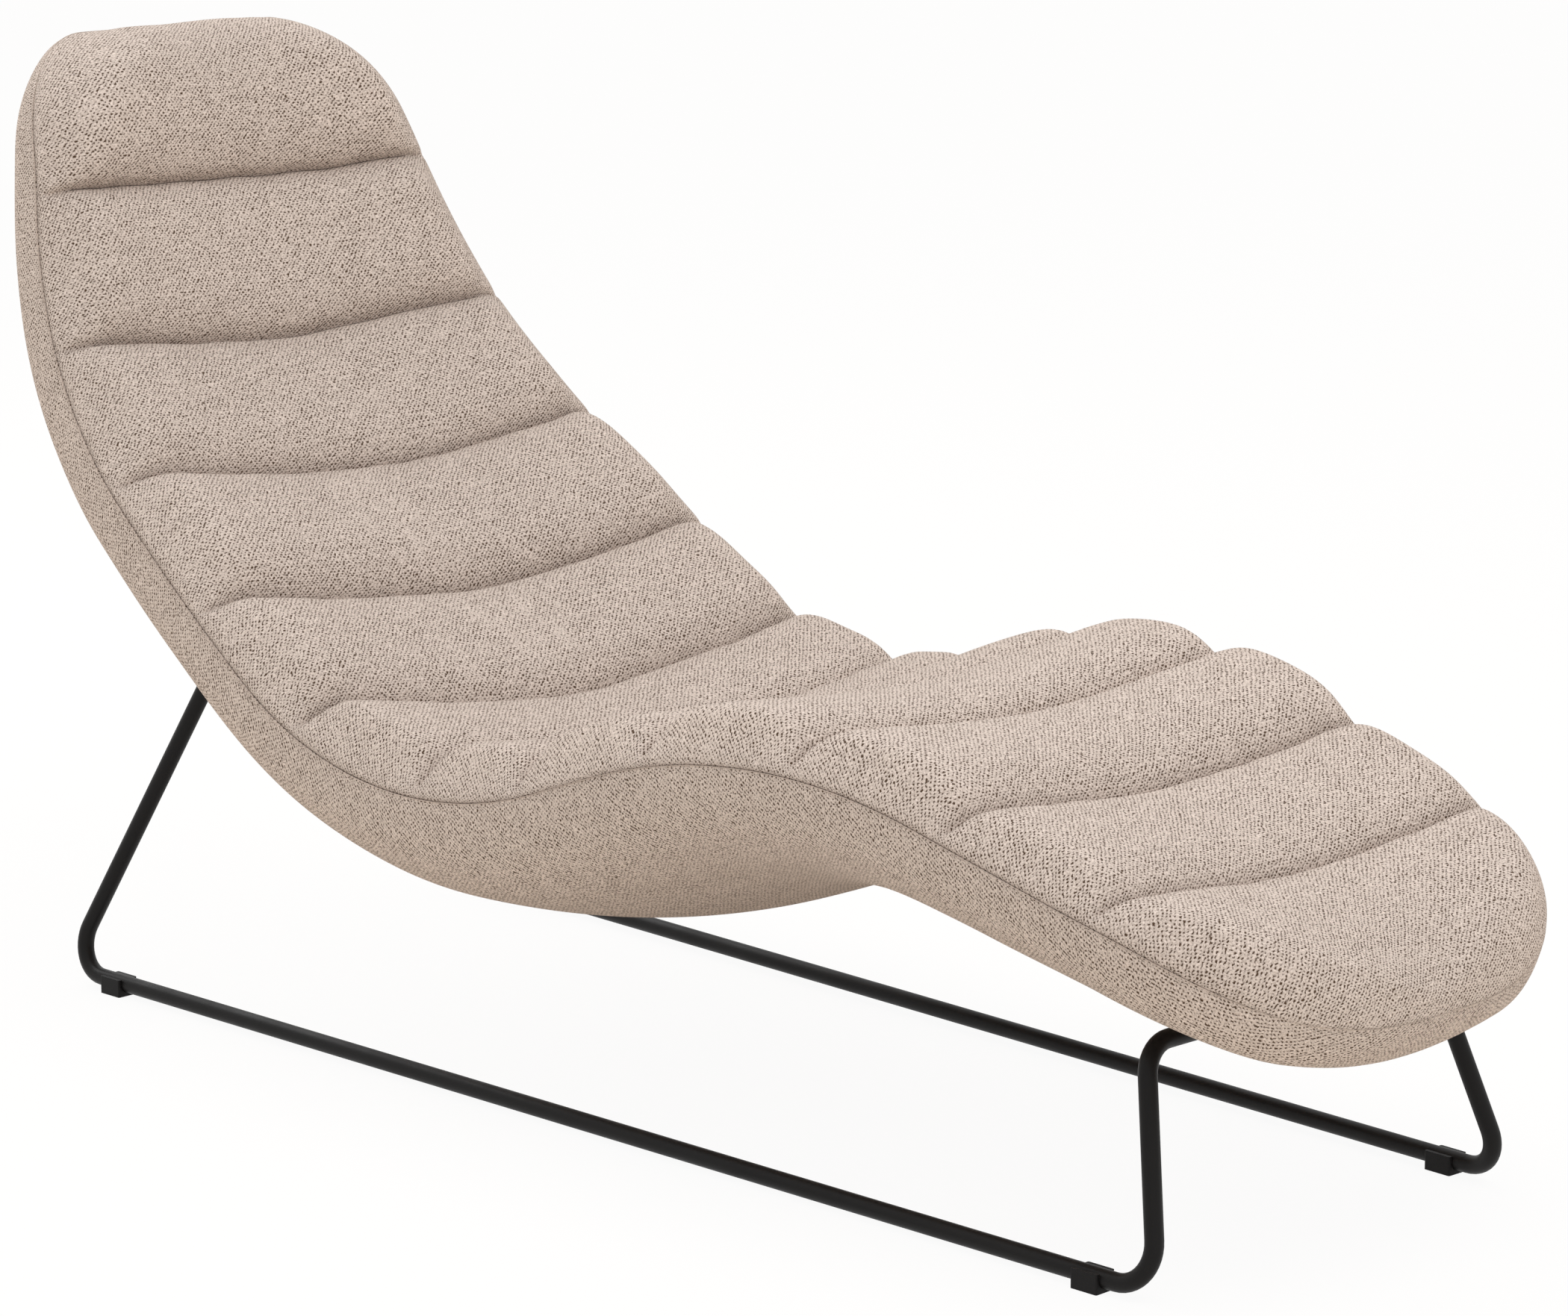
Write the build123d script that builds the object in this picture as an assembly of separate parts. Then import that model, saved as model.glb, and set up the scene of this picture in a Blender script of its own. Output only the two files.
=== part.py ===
from build123d import *
from math import atan2, ceil, cos, pi, radians, sin, sqrt
import os

# Chaise lounger: a channel-quilted, S-shaped upholstered body on a sled base of bent tube.
# X runs across the width, +Y towards the head, +Z up; the floor is Z = 0 and the origin lies
# under the middle of the body. Lengths are millimetres, slopes are degrees.

# Edge seam seen from the side, from the foot end to the head end: lines and tangent arcs
foot_end_height = 260.0
foot_slope = 15.8
foot_line = 355.0
knee_radius = 561.0
thigh_slope = -20.4
thigh_line = 69.0
seat_radius = 425.0
back_slope = 33.1
back_line = 236.0
head_radius = 495.0
head_slope = 77.0
head_line = 111.0

# Edge seam seen from above the body: widest at the hips, drawn in towards head and foot
hip_half_width = 322.0
hip_station = 1087.0
hip_curve_radius = 2650.0
foot_taper = 0.088
foot_corner_width = 150.0
foot_corner_length = 102.0
head_corner_width = 84.0
head_corner_length = 101.0

# Depth of the tub below the edge seam, and how it rounds off
foot_depth = 100.0
knee_depth = 135.0
seat_depth = 144.0
back_depth = 129.0
neck_depth = 122.0
head_depth = 88.0
tub_side_round = 0.735
foot_nose = 35.0
head_nose = 75.0
end_cap = 0.6
section_spacing = 88.0
corner_angles = (22.0, 44.0, 66.0, 90.0)

# Quilted top: sewn channels from the foot to the head, and the form between their seams
channel_widths = (170.0, 154.0, 164.0, 162.0, 153.0, 126.0, 163.0, 164.0, 173.0, 163.0, 158.0)
seam_crest = 27.0
channel_crown = 15.0
hollow_depth = 19.0
edge_roll = 40.0
foot_fall = 153.0
head_fall = 120.0
sewing_margin = 10.0

# Cover, padding and webbing
soft_gap = 0.3
cover_thickness = 2.5
pad_thickness = 36.0
webbing_thickness = 2.0
webbing_width = 50.0
webbing_spacing = 124.0

# Plywood frame inside the body
rib_thickness = 18.0
rib_height = 29.0
rib_half_gap = 150.0
rib_foot_margin = 85.0
rib_head_margin = 141.0
rail_thickness = 20.0
rail_width = 44.0
rail_drop = 2.0
screw_diameter = 4.5
screw_head_diameter = 9.0
screw_length = 50.0
screw_edge = 10.0
screw_clearance = 0.25

# Mounts between the body and the base
front_mount_station = 140.0
rear_mount_station = 1330.0
mount_rail_width = 92.0
mount_flat = 6.0
mount_half_spacing = 48.0
plate_width = 44.0
plate_length = 80.0
plate_thickness = 4.0
plate_corner = 8.0
block_half_width = 76.0
bolt_diameter = 8.0
bolt_offset = 27.0
bolt_clearance = 0.5
bolt_head_across_flats = 13.0
bolt_head_height = 5.3
washer_diameter = 16.0
washer_thickness = 1.6
nut_flange_diameter = 22.0
nut_flange_thickness = 1.5
nut_barrel_diameter = 10.0
nut_barrel_length = 11.0
thread_gap = 0.1

# Sled base
tube_diameter = 16.0
tube_wall = 1.5
bend_radius = 32.0
runner_height = 11.5
front_runner_half_gap = 220.6
rear_runner_half_gap = 258.8
front_foot_setback = 110.0
rear_foot_setback = 1488.0
front_leg_half_gap = 177.0
rear_leg_half_gap = 182.0
cross_tube_half_length = 110.0
glide_length = 28.0
glide_wall = 3.0
glide_height = 17.0
glide_gap = 0.15
glide_grip = 0.75
glide_corner = 1.5
front_glide_setback = 67.0
rear_glide_setback = 75.0

# Side profile as a chain of segments: length and curvature
foot_angle, thigh_angle, back_angle, head_angle = (
    radians(slope) for slope in (foot_slope, thigh_slope, back_slope, head_slope)
)
segments = (
    (foot_line, 0.0),
    (knee_radius * (foot_angle - thigh_angle), -1 / knee_radius),
    (thigh_line, 0.0),
    (seat_radius * (back_angle - thigh_angle), 1 / seat_radius),
    (back_line, 0.0),
    (head_radius * (head_angle - back_angle), 1 / head_radius),
    (head_line, 0.0),
)
body_length = sum(length for length, curvature in segments)


def segment_ends():
    """Stations at which the lines and arcs of the profile meet."""
    ends = [0.0]
    for length, _ in segments:
        ends.append(ends[-1] + length)
    return ends


def profile(station):
    """Y, Z and slope angle of the edge seam at a distance along it from the foot end."""
    y, z, angle, left = 0.0, foot_end_height, foot_angle, station
    for index, (length, curvature) in enumerate(segments):
        last = index == len(segments) - 1
        step = left if last else min(left, length)
        if curvature:
            turned = angle + curvature * step
            y += (sin(turned) - sin(angle)) / curvature
            z -= (cos(turned) - cos(angle)) / curvature
            angle = turned
        else:
            y += step * cos(angle)
            z += step * sin(angle)
        left -= step
        if left <= 0:
            break
    return y, z, angle


def at(station, height=0.0, x=0.0):
    """Point at a height above the seam line, square to the profile."""
    y, z, angle = profile(station)
    return Vector(x, y - height * sin(angle), z + height * cos(angle))


def cross_plane(station):
    """Plane across the body: local X is the width, local Y is the height."""
    angle = profile(station)[2]
    return Plane(origin=at(station), x_dir=(1, 0, 0), z_dir=(0, -cos(angle), -sin(angle)))


def seat_plane(station):
    """Plane along the body: local X is the width, local Y runs to the head, Z is the height."""
    angle = profile(station)[2]
    return Plane(origin=at(station), x_dir=(1, 0, 0), z_dir=(0, -sin(angle), cos(angle)))


def profile_edges(start, end, height):
    """Lines and arcs of the profile between two stations, at one height."""
    edges = []
    stops = segment_ends()
    for index, (_, curvature) in enumerate(segments):
        low = start if index == 0 else max(start, stops[index])
        high = end if index == len(segments) - 1 else min(end, stops[index + 1])
        if high - low < 1e-6:
            continue
        if curvature:
            edges.append(ThreePointArc(at(low, height), at((low + high) / 2, height), at(high, height)))
        else:
            edges.append(Line(at(low, height), at(high, height)))
    return edges


def band(start, end, bottom, top, x_low, x_high):
    """Solid that follows the profile between two stations, two heights and two sides."""
    edges = profile_edges(start, end, bottom) + profile_edges(start, end, top)
    edges.append(Line(at(start, bottom), at(start, top)))
    edges.append(Line(at(end, bottom), at(end, top)))
    outline = Face(Wire(edges))
    return Pos(x_low, 0, 0) * Solid.extrude(outline, Vector(x_high - x_low, 0, 0))


def smooth_through(station, knots):
    """Smooth curve through pairs of station and value."""
    for index in range(len(knots) - 1):
        (s1, v1), (s2, v2) = knots[index], knots[index + 1]
        if station <= s2 or index == len(knots) - 2:
            s0, v0 = knots[max(index - 1, 0)]
            s3, v3 = knots[min(index + 2, len(knots) - 1)]
            t = min(max((station - s1) / (s2 - s1), 0.0), 1.0)
            slope1 = (v2 - v0) / (s2 - s0) * (s2 - s1)
            slope2 = (v3 - v1) / (s3 - s1) * (s2 - s1)
            rise = (2 * t**3 - 3 * t**2 + 1) * v1 + (3 * t**2 - 2 * t**3) * v2
            return rise + (t**3 - 2 * t**2 + t) * slope1 + (t**3 - t**2) * slope2


def rounding(distance, length):
    """Quarter ellipse from 0 at an end to 1 at a length away from it."""
    share = min(max(distance / length, 0.0), 1.0)
    return sqrt(1 - (1 - share) ** 2)


def half_width(station, inset=0.0):
    """Half the width between the edge seams, less an inset on all sides."""
    run = station - hip_station
    straight_from = -foot_taper * hip_curve_radius
    if run > straight_from:
        width = hip_half_width - run**2 / (2 * hip_curve_radius)
    else:
        width = hip_half_width + foot_taper * (run - straight_from / 2)
    width -= foot_corner_width * (1 - rounding(station - inset, foot_corner_length))
    width -= head_corner_width * (1 - rounding(body_length - station - inset, head_corner_length))
    return width - inset


def depth(station, inset=0.0):
    """Depth of the tub below the edge seam, less an inset on all sides."""
    stops = segment_ends()
    middles = [(low + high) / 2 for low, high in zip(stops, stops[1:])]
    knots = (
        (middles[0], foot_depth),
        (middles[1], knee_depth),
        (middles[3], seat_depth),
        (middles[4], back_depth),
        (middles[5], neck_depth),
        (body_length, head_depth),
    )
    full = smooth_through(station, knots)
    full *= rounding(station - inset, foot_nose) * rounding(body_length - station - inset, head_nose)
    return full - inset


def tub_section(station, inset):
    """Three-centred arch below the seam line, with upright sides above it."""
    side = half_width(station, inset)
    drop = depth(station, inset)
    side_radius = tub_side_round * (drop + inset) - inset
    reach = side - side_radius
    belly_radius = (reach**2 + drop**2 - side_radius**2) / (2 * (drop - side_radius))
    rise = belly_radius - drop
    turn = atan2(reach, rise)
    joint = (belly_radius * sin(turn), rise - belly_radius * cos(turn))
    half_turn = (pi / 2 - turn) / 2
    middle = (reach + side_radius * cos(half_turn), -side_radius * sin(half_turn))
    edges = [
        Line((-side, sewing_margin), (side, sewing_margin)),
        Line((side, sewing_margin), (side, 0)),
        ThreePointArc((side, 0), middle, joint),
        ThreePointArc(joint, (0, -drop), (-joint[0], joint[1])),
        ThreePointArc((-joint[0], joint[1]), (-middle[0], middle[1]), (-side, 0)),
        Line((-side, 0), (-side, sewing_margin)),
    ]
    return cross_plane(station) * make_face(edges)


def quilt_section(station, crown_share):
    """Crowned section of the top: a rolled edge each side and a hollow across the middle."""
    fall = rounding(station, foot_fall) * rounding(body_length - station, head_fall)
    side = half_width(station)
    crest = (seam_crest + channel_crown * crown_share) * fall
    hollow = hollow_depth * fall
    inner = side - edge_roll
    slope = 2 * atan2(hollow, inner)
    outward = (cos(slope), sin(slope))
    edges = [
        Line((-side, -sewing_margin), (side, -sewing_margin)),
        Line((side, -sewing_margin), (side, 0)),
        TangentArc((inner, crest), (side, 0), tangent=outward),
        ThreePointArc((inner, crest), (0, crest - hollow), (-inner, crest)),
        TangentArc((-inner, crest), (-side, 0), tangent=(-outward[0], outward[1])),
        Line((-side, 0), (-side, -sewing_margin)),
    ]
    return cross_plane(station) * make_face(edges)


# Stations of the channel seams, of the sections that round off each end, and of those between
seams = [sum(channel_widths[: index + 1]) for index in range(len(channel_widths))]
corner_steps = [1 - cos(radians(angle)) for angle in corner_angles]
foot_stations = [end_cap] + [foot_corner_length * step for step in corner_steps]
head_stations = [end_cap] + [head_corner_length * step for step in corner_steps]
between = body_length - head_corner_length - foot_corner_length
count = round(between / section_spacing)
body_stations = [foot_corner_length + between * step / count for step in range(1, count)]


def tub_body(inset):
    """Closed body of the tub, drawn in by an inset on all sides."""
    stations = [inset + step for step in foot_stations] + body_stations
    stations += [body_length - inset - step for step in reversed(head_stations)]
    return loft([tub_section(station, inset) for station in stations])


def above(height):
    """Everything above one height over the seam line."""
    reach = 2 * hip_half_width
    return band(-reach / 2, body_length + reach / 2, height, seat_radius / 2, -reach, reach)


def below(height):
    """Everything below one height over the seam line."""
    reach = 2 * hip_half_width
    return band(-reach / 2, body_length + reach / 2, -2 * seat_depth, height, -reach, reach)


# Heights of the layers, from the seam line down
pad_bottom = -pad_thickness
webbing_top = pad_bottom - soft_gap
webbing_bottom = webbing_top - webbing_thickness
rib_top = webbing_bottom - soft_gap
rib_bottom = rib_top - rib_height
rail_top = rib_top - rail_drop
rail_bottom = rail_top - rail_thickness
rib_outside = rib_half_gap + rib_thickness
rib_start = rib_foot_margin
rib_end = body_length - rib_head_margin

parts = {}


# Mount positions: a flat on the underside of the tub, and what is bolted through it
mount_stations = {"front": front_mount_station, "rear": rear_mount_station}
mount_sides = {"left": -1, "right": 1}
bolt_places = [
    (side * mount_half_spacing, offset)
    for side in mount_sides.values()
    for offset in (-bolt_offset, bolt_offset)
]


def flat_height(station):
    """Height of the mounting flat on the outside of the tub."""
    return mount_flat - depth(station)


def flat_cut(station, raise_by):
    """What is pared off the underside to leave a flat for the mount."""
    size = 2 * seat_depth
    low = flat_height(station) + raise_by
    return seat_plane(station) * Pos(0, 0, low - size / 2) * Box(2 * size, mount_rail_width, size)


def bolt_holes(station, radius):
    """Round holes square to the mounting flat, at every bolt of one mount."""
    height = 4 * seat_depth
    return [seat_plane(station) * Pos(x, y, 0) * Cylinder(radius, height) for x, y in bolt_places]


def tube_center(station):
    """Height of the cross tube's axis below the seam line."""
    return flat_height(station) - plate_thickness - tube_diameter / 2


# Sled base
def tube_along(path):
    """Round tube of the base's bore and wall along a path."""
    start = path.edges()[0]
    plane = Plane(origin=start @ 0, z_dir=start % 0)
    outer = sweep(plane * Circle(tube_diameter / 2), path=path)
    bore = sweep(plane * Circle(tube_diameter / 2 - tube_wall), path=path)
    return outer - bore


front_top = at(front_mount_station, tube_center(front_mount_station))
rear_top = at(rear_mount_station, tube_center(rear_mount_station))
front_foot = Vector(front_runner_half_gap, front_foot_setback, runner_height)
rear_foot = Vector(rear_runner_half_gap, rear_foot_setback, runner_height)
side_points = (
    Vector(cross_tube_half_length, front_top.Y, front_top.Z),
    Vector(front_leg_half_gap, front_top.Y, front_top.Z),
    front_foot,
    rear_foot,
    Vector(rear_leg_half_gap, rear_top.Y, rear_top.Z),
    Vector(cross_tube_half_length, rear_top.Y, rear_top.Z),
)
side_tube = tube_along(FilletPolyline(*side_points, radius=bend_radius))
parts["side_tube_right"] = side_tube
parts["side_tube_left"] = mirror(side_tube, about=Plane.YZ)

for end, top in (("front", front_top), ("rear", rear_top)):
    ends = [Vector(side * cross_tube_half_length, top.Y, top.Z) for side in (-1, 1)]
    parts[f"{end}_cross_tube"] = tube_along(Line(*ends))

# Glides: channel-shaped clips under the runners, beside each bend
runner = (rear_foot - front_foot).normalized()
glide_inside = tube_diameter / 2 + glide_gap
glide_outside = glide_inside + glide_wall
glide_places = {
    "front": front_foot + runner * front_glide_setback,
    "rear": rear_foot - runner * rear_glide_setback,
}
for end, place in glide_places.items():
    under_tube = Plane(origin=(place.X, place.Y, 0), x_dir=runner, z_dir=(0, 0, 1))
    clip = under_tube * Pos(0, 0, glide_height / 2) * Box(glide_length, 2 * glide_outside, glide_height)
    tube_axis = under_tube * Pos(0, 0, runner_height)
    groove = tube_axis * Rot(0, 90, 0) * Cylinder(glide_inside, 2 * glide_length)
    mouth = Box(2 * glide_length, 2 * (glide_inside - glide_grip), glide_height)
    glide = clip - groove - tube_axis * Pos(0, 0, glide_height / 2) * mouth
    corners = glide.edges().filter_by(Axis.Z).group_by(SortBy.LENGTH)[-1]
    glide = fillet(corners, glide_corner)
    parts[f"glide_{end}_right"] = glide
    parts[f"glide_{end}_left"] = mirror(glide, about=Plane.YZ)

# Mount plates, bolts, washers and nuts
bolts, washers, nuts = [], [], []
for end, station in mount_stations.items():
    frame = seat_plane(station)
    flat = flat_height(station)
    holes = bolt_holes(station, bolt_diameter / 2 + bolt_clearance)
    for side_name, side in mount_sides.items():
        plate = Box(plate_width, plate_length, plate_thickness)
        plate = fillet(plate.edges().filter_by(Axis.Z), plate_corner)
        plate = frame * Pos(side * mount_half_spacing, 0, flat - plate_thickness / 2) * plate
        parts[f"mount_plate_{end}_{side_name}"] = plate - holes
    head_top = flat - plate_thickness - washer_thickness
    shank_top = rail_top + nut_flange_thickness
    for x, y in bolt_places:
        on_axis = frame * Pos(x, y, 0)
        shank_length = shank_top - head_top
        shank = Pos(0, 0, (shank_top + head_top) / 2) * Cylinder(bolt_diameter / 2, shank_length)
        flats = RegularPolygon(bolt_head_across_flats / 2, 6, major_radius=False)
        head = Pos(0, 0, head_top - bolt_head_height) * extrude(flats, bolt_head_height)
        bolts.append(on_axis * (shank + head))
        washer = Cylinder(washer_diameter / 2, washer_thickness)
        washer -= Cylinder(bolt_diameter / 2 + thread_gap, 2 * washer_thickness)
        washers.append(on_axis * Pos(0, 0, head_top + washer_thickness / 2) * washer)
        flange = Pos(0, 0, rail_top + nut_flange_thickness / 2)
        barrel = Pos(0, 0, rail_top - nut_barrel_length / 2)
        nut = flange * Cylinder(nut_flange_diameter / 2, nut_flange_thickness)
        nut += barrel * Cylinder(nut_barrel_diameter / 2, nut_barrel_length)
        nut -= Cylinder(bolt_diameter / 2 + thread_gap, 4 * seat_depth)
        nuts.append(on_axis * nut)
parts["mount_bolts"] = bolts
parts["mount_washers"] = washers
parts["t_nuts"] = nuts

# Plywood frame: two S-shaped ribs, cross rails between them, and blocks over the mounts
stops = segment_ends()
rail_stations = {
    "front_mount_rail": (front_mount_station, mount_rail_width),
    "knee_rail": ((stops[1] + stops[2]) / 2, rail_width),
    "thigh_rail": ((stops[2] + stops[3]) / 2, rail_width),
    "seat_rail": ((stops[3] + stops[4]) / 2, rail_width),
    "rear_mount_rail": (rear_mount_station, mount_rail_width),
    "shoulder_rail": ((stops[5] + stops[6]) / 2, rail_width),
    "head_rail": (rib_end - rail_width / 2, rail_width),
}
screw_height = (rail_top + rail_bottom) / 2
screw_places = []
for station, width in rail_stations.values():
    for offset in (screw_edge - width / 2, width / 2 - screw_edge):
        screw_places.append(station + offset)

screw_radius = screw_diameter / 2
screw_head_radius = screw_head_diameter / 2
sink_depth = screw_head_radius - screw_radius
screws, screw_holes = [], []
for station in screw_places:
    for side in (-1, 1):
        inward = Plane(origin=at(station, screw_height, side * rib_outside), z_dir=(-side, 0, 0))
        screw = Pos(0, 0, screw_length / 2) * Cylinder(screw_radius, screw_length)
        screw += Pos(0, 0, sink_depth / 2) * Cone(screw_head_radius, screw_radius, sink_depth)
        screws.append(inward * screw)
        hole_radius = screw_radius + screw_clearance
        sink_radius = screw_head_radius + screw_clearance
        hole = Pos(0, 0, screw_length / 2) * Cylinder(hole_radius, screw_length + 2 * screw_clearance)
        hole += Pos(0, 0, sink_depth / 2) * Cone(sink_radius, hole_radius, sink_depth)
        screw_holes.append(inward * hole)
parts["rail_screws"] = screws

for side_name, side in mount_sides.items():
    faces = sorted((side * rib_half_gap, side * rib_outside))
    rib = band(rib_start, rib_end, rib_bottom, rib_top, *faces)
    parts[f"side_rib_{side_name}"] = rib - screw_holes

for name, (station, width) in rail_stations.items():
    start, end = station - width / 2, station + width / 2
    rail = band(start, end, rail_bottom, rail_top, -rib_half_gap, rib_half_gap)
    rail -= screw_holes
    if station in mount_stations.values():
        rail -= bolt_holes(station, bolt_diameter / 2 + bolt_clearance)
        socket_length = nut_barrel_length + thread_gap
        socket = Cylinder(nut_barrel_diameter / 2 + thread_gap, socket_length)
        for x, y in bolt_places:
            rail -= seat_plane(station) * Pos(x, y, rail_top - socket_length / 2) * socket
    parts[name] = rail

for end, station in mount_stations.items():
    low = flat_height(station) + cover_thickness + soft_gap
    height = rail_bottom - low
    block = Box(2 * block_half_width, mount_rail_width - 2 * soft_gap, height)
    block = seat_plane(station) * Pos(0, 0, low + height / 2) * block
    parts[f"{end}_mount_block"] = block - bolt_holes(station, bolt_diameter / 2 + bolt_clearance)

# Webbing straps across the ribs
webbing_run = rib_end - rib_start - webbing_width
webbing_count = ceil(webbing_run / webbing_spacing) + 1
for index in range(webbing_count):
    start = rib_start + webbing_run * index / (webbing_count - 1)
    strap = band(start, start + webbing_width, webbing_bottom, webbing_top, -rib_outside, rib_outside)
    parts[f"webbing_strap_{index + 1:02d}"] = strap

# Tub cover: side and underside in one skin, pared flat at the mounts
outer = tub_body(0)
lining = tub_body(cover_thickness)
for station in mount_stations.values():
    outer -= flat_cut(station, 0)
    lining -= flat_cut(station, cover_thickness)
tub_cover = outer - above(0) - lining
for station in mount_stations.values():
    tub_cover -= bolt_holes(station, bolt_diameter / 2 + bolt_clearance)
parts["tub_cover"] = tub_cover

# Moulded foam tub inside the cover, with a recess for the frame and pockets for the mount blocks
foam_inset = cover_thickness + soft_gap
foam = tub_body(foam_inset)
for station in mount_stations.values():
    foam -= flat_cut(station, foam_inset)
foam -= above(-soft_gap)
recess_side = rib_outside + soft_gap
recess_ends = (rib_start - soft_gap, rib_end + soft_gap)
foam -= band(*recess_ends, rib_bottom - soft_gap, sewing_margin, -recess_side, recess_side)
for station in mount_stations.values():
    pocket_depth = depth(station)
    pocket = Box(2 * (block_half_width + soft_gap), mount_rail_width, pocket_depth)
    foam -= seat_plane(station) * Pos(0, 0, rib_bottom - pocket_depth / 2) * pocket
parts["foam_tub"] = foam

# Seat pad: a strip of softer foam in the recess, on the webbing
parts["seat_pad"] = band(rib_start, rib_end, pad_bottom, -soft_gap, -rib_outside, rib_outside)

# Quilted top: one crowned loft for each channel, joined along the sewn seams
channel_stops = [end_cap] + seams + [body_length - end_cap]
quilt = None
for index, (start, end) in enumerate(zip(channel_stops, channel_stops[1:])):
    first, last = index == 0, index == len(channel_stops) - 2
    stations = [start, (start + end) / 2, end]
    if first:
        stations = foot_stations + [end]
    if last:
        stations = [start] + [body_length - step for step in reversed(head_stations)]
    sections = []
    for station in stations:
        share = (station - start) / (end - start)
        crown_share = 4 * share * (1 - share)
        if first:
            crown_share = 1 - max(0.0, 2 * share - 1) ** 2
        if last:
            crown_share = 1 - max(0.0, 1 - 2 * share) ** 2
        sections.append(quilt_section(station, crown_share))
    channel = loft(sections)
    quilt = channel if quilt is None else quilt + channel
parts["quilted_top"] = quilt - below(soft_gap)

# Origin under the middle of the body, and one file for each node
upholstery = [*parts["quilted_top"].solids(), *parts["tub_cover"].solids()]
body_box = Compound(children=upholstery).bounding_box()
middle_y = (body_box.min.Y + body_box.max.Y) / 2
os.makedirs("parts", exist_ok=True)
for name, shape in parts.items():
    pieces = shape if isinstance(shape, list) else [shape]
    solids = [Pos(0, -middle_y, 0) * solid for piece in pieces for solid in piece.solids()]
    export_step(solids[0] if len(solids) == 1 else Compound(children=solids), f"parts/{name}.step")
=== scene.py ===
from math import cos, pi, radians, sin

import bpy
import numpy as np
from bpy.props import FloatProperty, FloatVectorProperty, IntProperty
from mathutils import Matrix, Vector, noise


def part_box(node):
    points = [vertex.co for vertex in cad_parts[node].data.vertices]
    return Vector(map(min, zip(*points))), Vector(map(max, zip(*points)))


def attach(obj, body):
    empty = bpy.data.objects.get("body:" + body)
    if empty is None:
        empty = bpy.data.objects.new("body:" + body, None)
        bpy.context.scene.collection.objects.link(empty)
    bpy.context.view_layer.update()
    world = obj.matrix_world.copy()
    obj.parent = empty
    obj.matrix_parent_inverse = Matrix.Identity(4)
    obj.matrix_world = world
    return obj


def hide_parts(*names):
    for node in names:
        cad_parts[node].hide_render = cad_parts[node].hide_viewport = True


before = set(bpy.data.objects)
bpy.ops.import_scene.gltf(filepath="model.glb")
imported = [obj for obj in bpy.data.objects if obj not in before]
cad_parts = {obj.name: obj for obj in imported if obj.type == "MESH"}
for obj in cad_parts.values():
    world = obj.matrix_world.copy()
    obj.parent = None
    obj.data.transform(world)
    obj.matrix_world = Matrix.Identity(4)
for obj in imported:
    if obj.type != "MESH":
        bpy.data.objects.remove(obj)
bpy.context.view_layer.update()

bl_info = {
    "name": "Chaise lounger dressing",
    "version": (1, 0, 0),
    "blender": (4, 5, 0),
    "location": "3D View > Sidebar > Lounger",
    "description": "Upholstery, finishes and studio stage for a channel-quilted chaise lounger",
    "category": "Object",
}

# The foot end of the body, as the frame gives it
foot_end_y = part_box("tub_cover")[0].y
BODY = "root"

# Stretches of the body, as distances along the seam from the foot end: an effect starts at the first,
# is full from the second, fades from the third and is gone at the fourth
SEAT_DIP = (0.75, 1.00, 1.15, 1.50)
SEAT_BOW = (0.80, 1.10, 1.45, 1.70)
BACK_FOLDS = (0.98, 1.12, 1.37, 1.44)
# Where the edge of the top turns from that of the legs to that of the back, and where the folds meet
BACK_STARTS = (0.95, 1.25)
FOLD_ROOT = 1.33

# Distances from the channel seams: where the folds fade, where the gathers start, how far they reach
FOLD_ENDS = (0.010, 0.045)
GATHER_START, GATHER_REACH = 0.006, 0.024
# Distances from the edge seam: where gathers and strays of the seams set in, where creases and lids do
CLEAR_OF_EDGE = (0.006, 0.050)
CREASE_RUN, LID_RUN = 0.014, 0.12

# Swelling of the tub's sides: its share on the legs, how it sets in about the hips, its loss at the head
# and the distances from the head end between which that happens
LEG_SWELL, HIP_EASE, HEAD_LOSS = 0.3, 0.25, 0.6
HEAD_FROM, HEAD_TO = 0.35, 0.05
# Shares of the swelling's width between which the cloth's slack sets in
SLACK_FROM, SLACK_TO = 0.05, 0.6
# Length over which the flat at a mount runs out, and the tub's depth at its very ends
MOUNT_EASE, LEAST_DEPTH = 0.012, 5e-4

# Meshes: crowding of the rows at the seams, columns of the panels and their crowding at the edges
ROW_CROWDING = 2.1
COLUMNS, TOP_CROWDING, TUB_CROWDING = 60, 0.6, 1.0
# Points that trace the rounded ends, sharpness of the channel seams, gap that the sewing closes
OUTLINE_STEPS, SEAM_CREASE, SEWN_WITHIN = 200, 0.9, 2e-5
# Share of the width that the threads of the channel seams span
THREAD_SPAN = 0.89
# Keeps a row that lies on a seam with the channel behind it
HAIR = 1e-9


def length(name, description, default):
    """A length that a user may change."""
    return FloatProperty(name=name, description=description, default=default, unit="LENGTH", precision=4)


def lengths(name, description, default):
    """A row of lengths, or a place, that a user may change."""
    return FloatVectorProperty(
        name=name, description=description, default=default, size=len(default), unit="LENGTH", precision=4
    )


def slope(name, description, degrees):
    """An angle that a user may change, given in degrees."""
    return FloatProperty(name=name, description=description, default=radians(degrees), subtype="ANGLE")


def watts(name, description, default):
    """Power of a lamp."""
    return FloatProperty(name=name, description=description, default=default, unit="POWER")


def whole(name, description, default):
    """A whole number of rows or columns."""
    return IntProperty(name=name, description=description, default=default, min=1)


def share(name, description, default):
    """A plain number, often between 0 and 1."""
    return FloatProperty(name=name, description=description, default=default, precision=3)


def colour(name, description, default):
    """A colour in linear light."""
    return FloatVectorProperty(
        name=name, description=description, default=default, subtype="COLOR", size=3, min=0.0, max=1.0
    )


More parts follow.
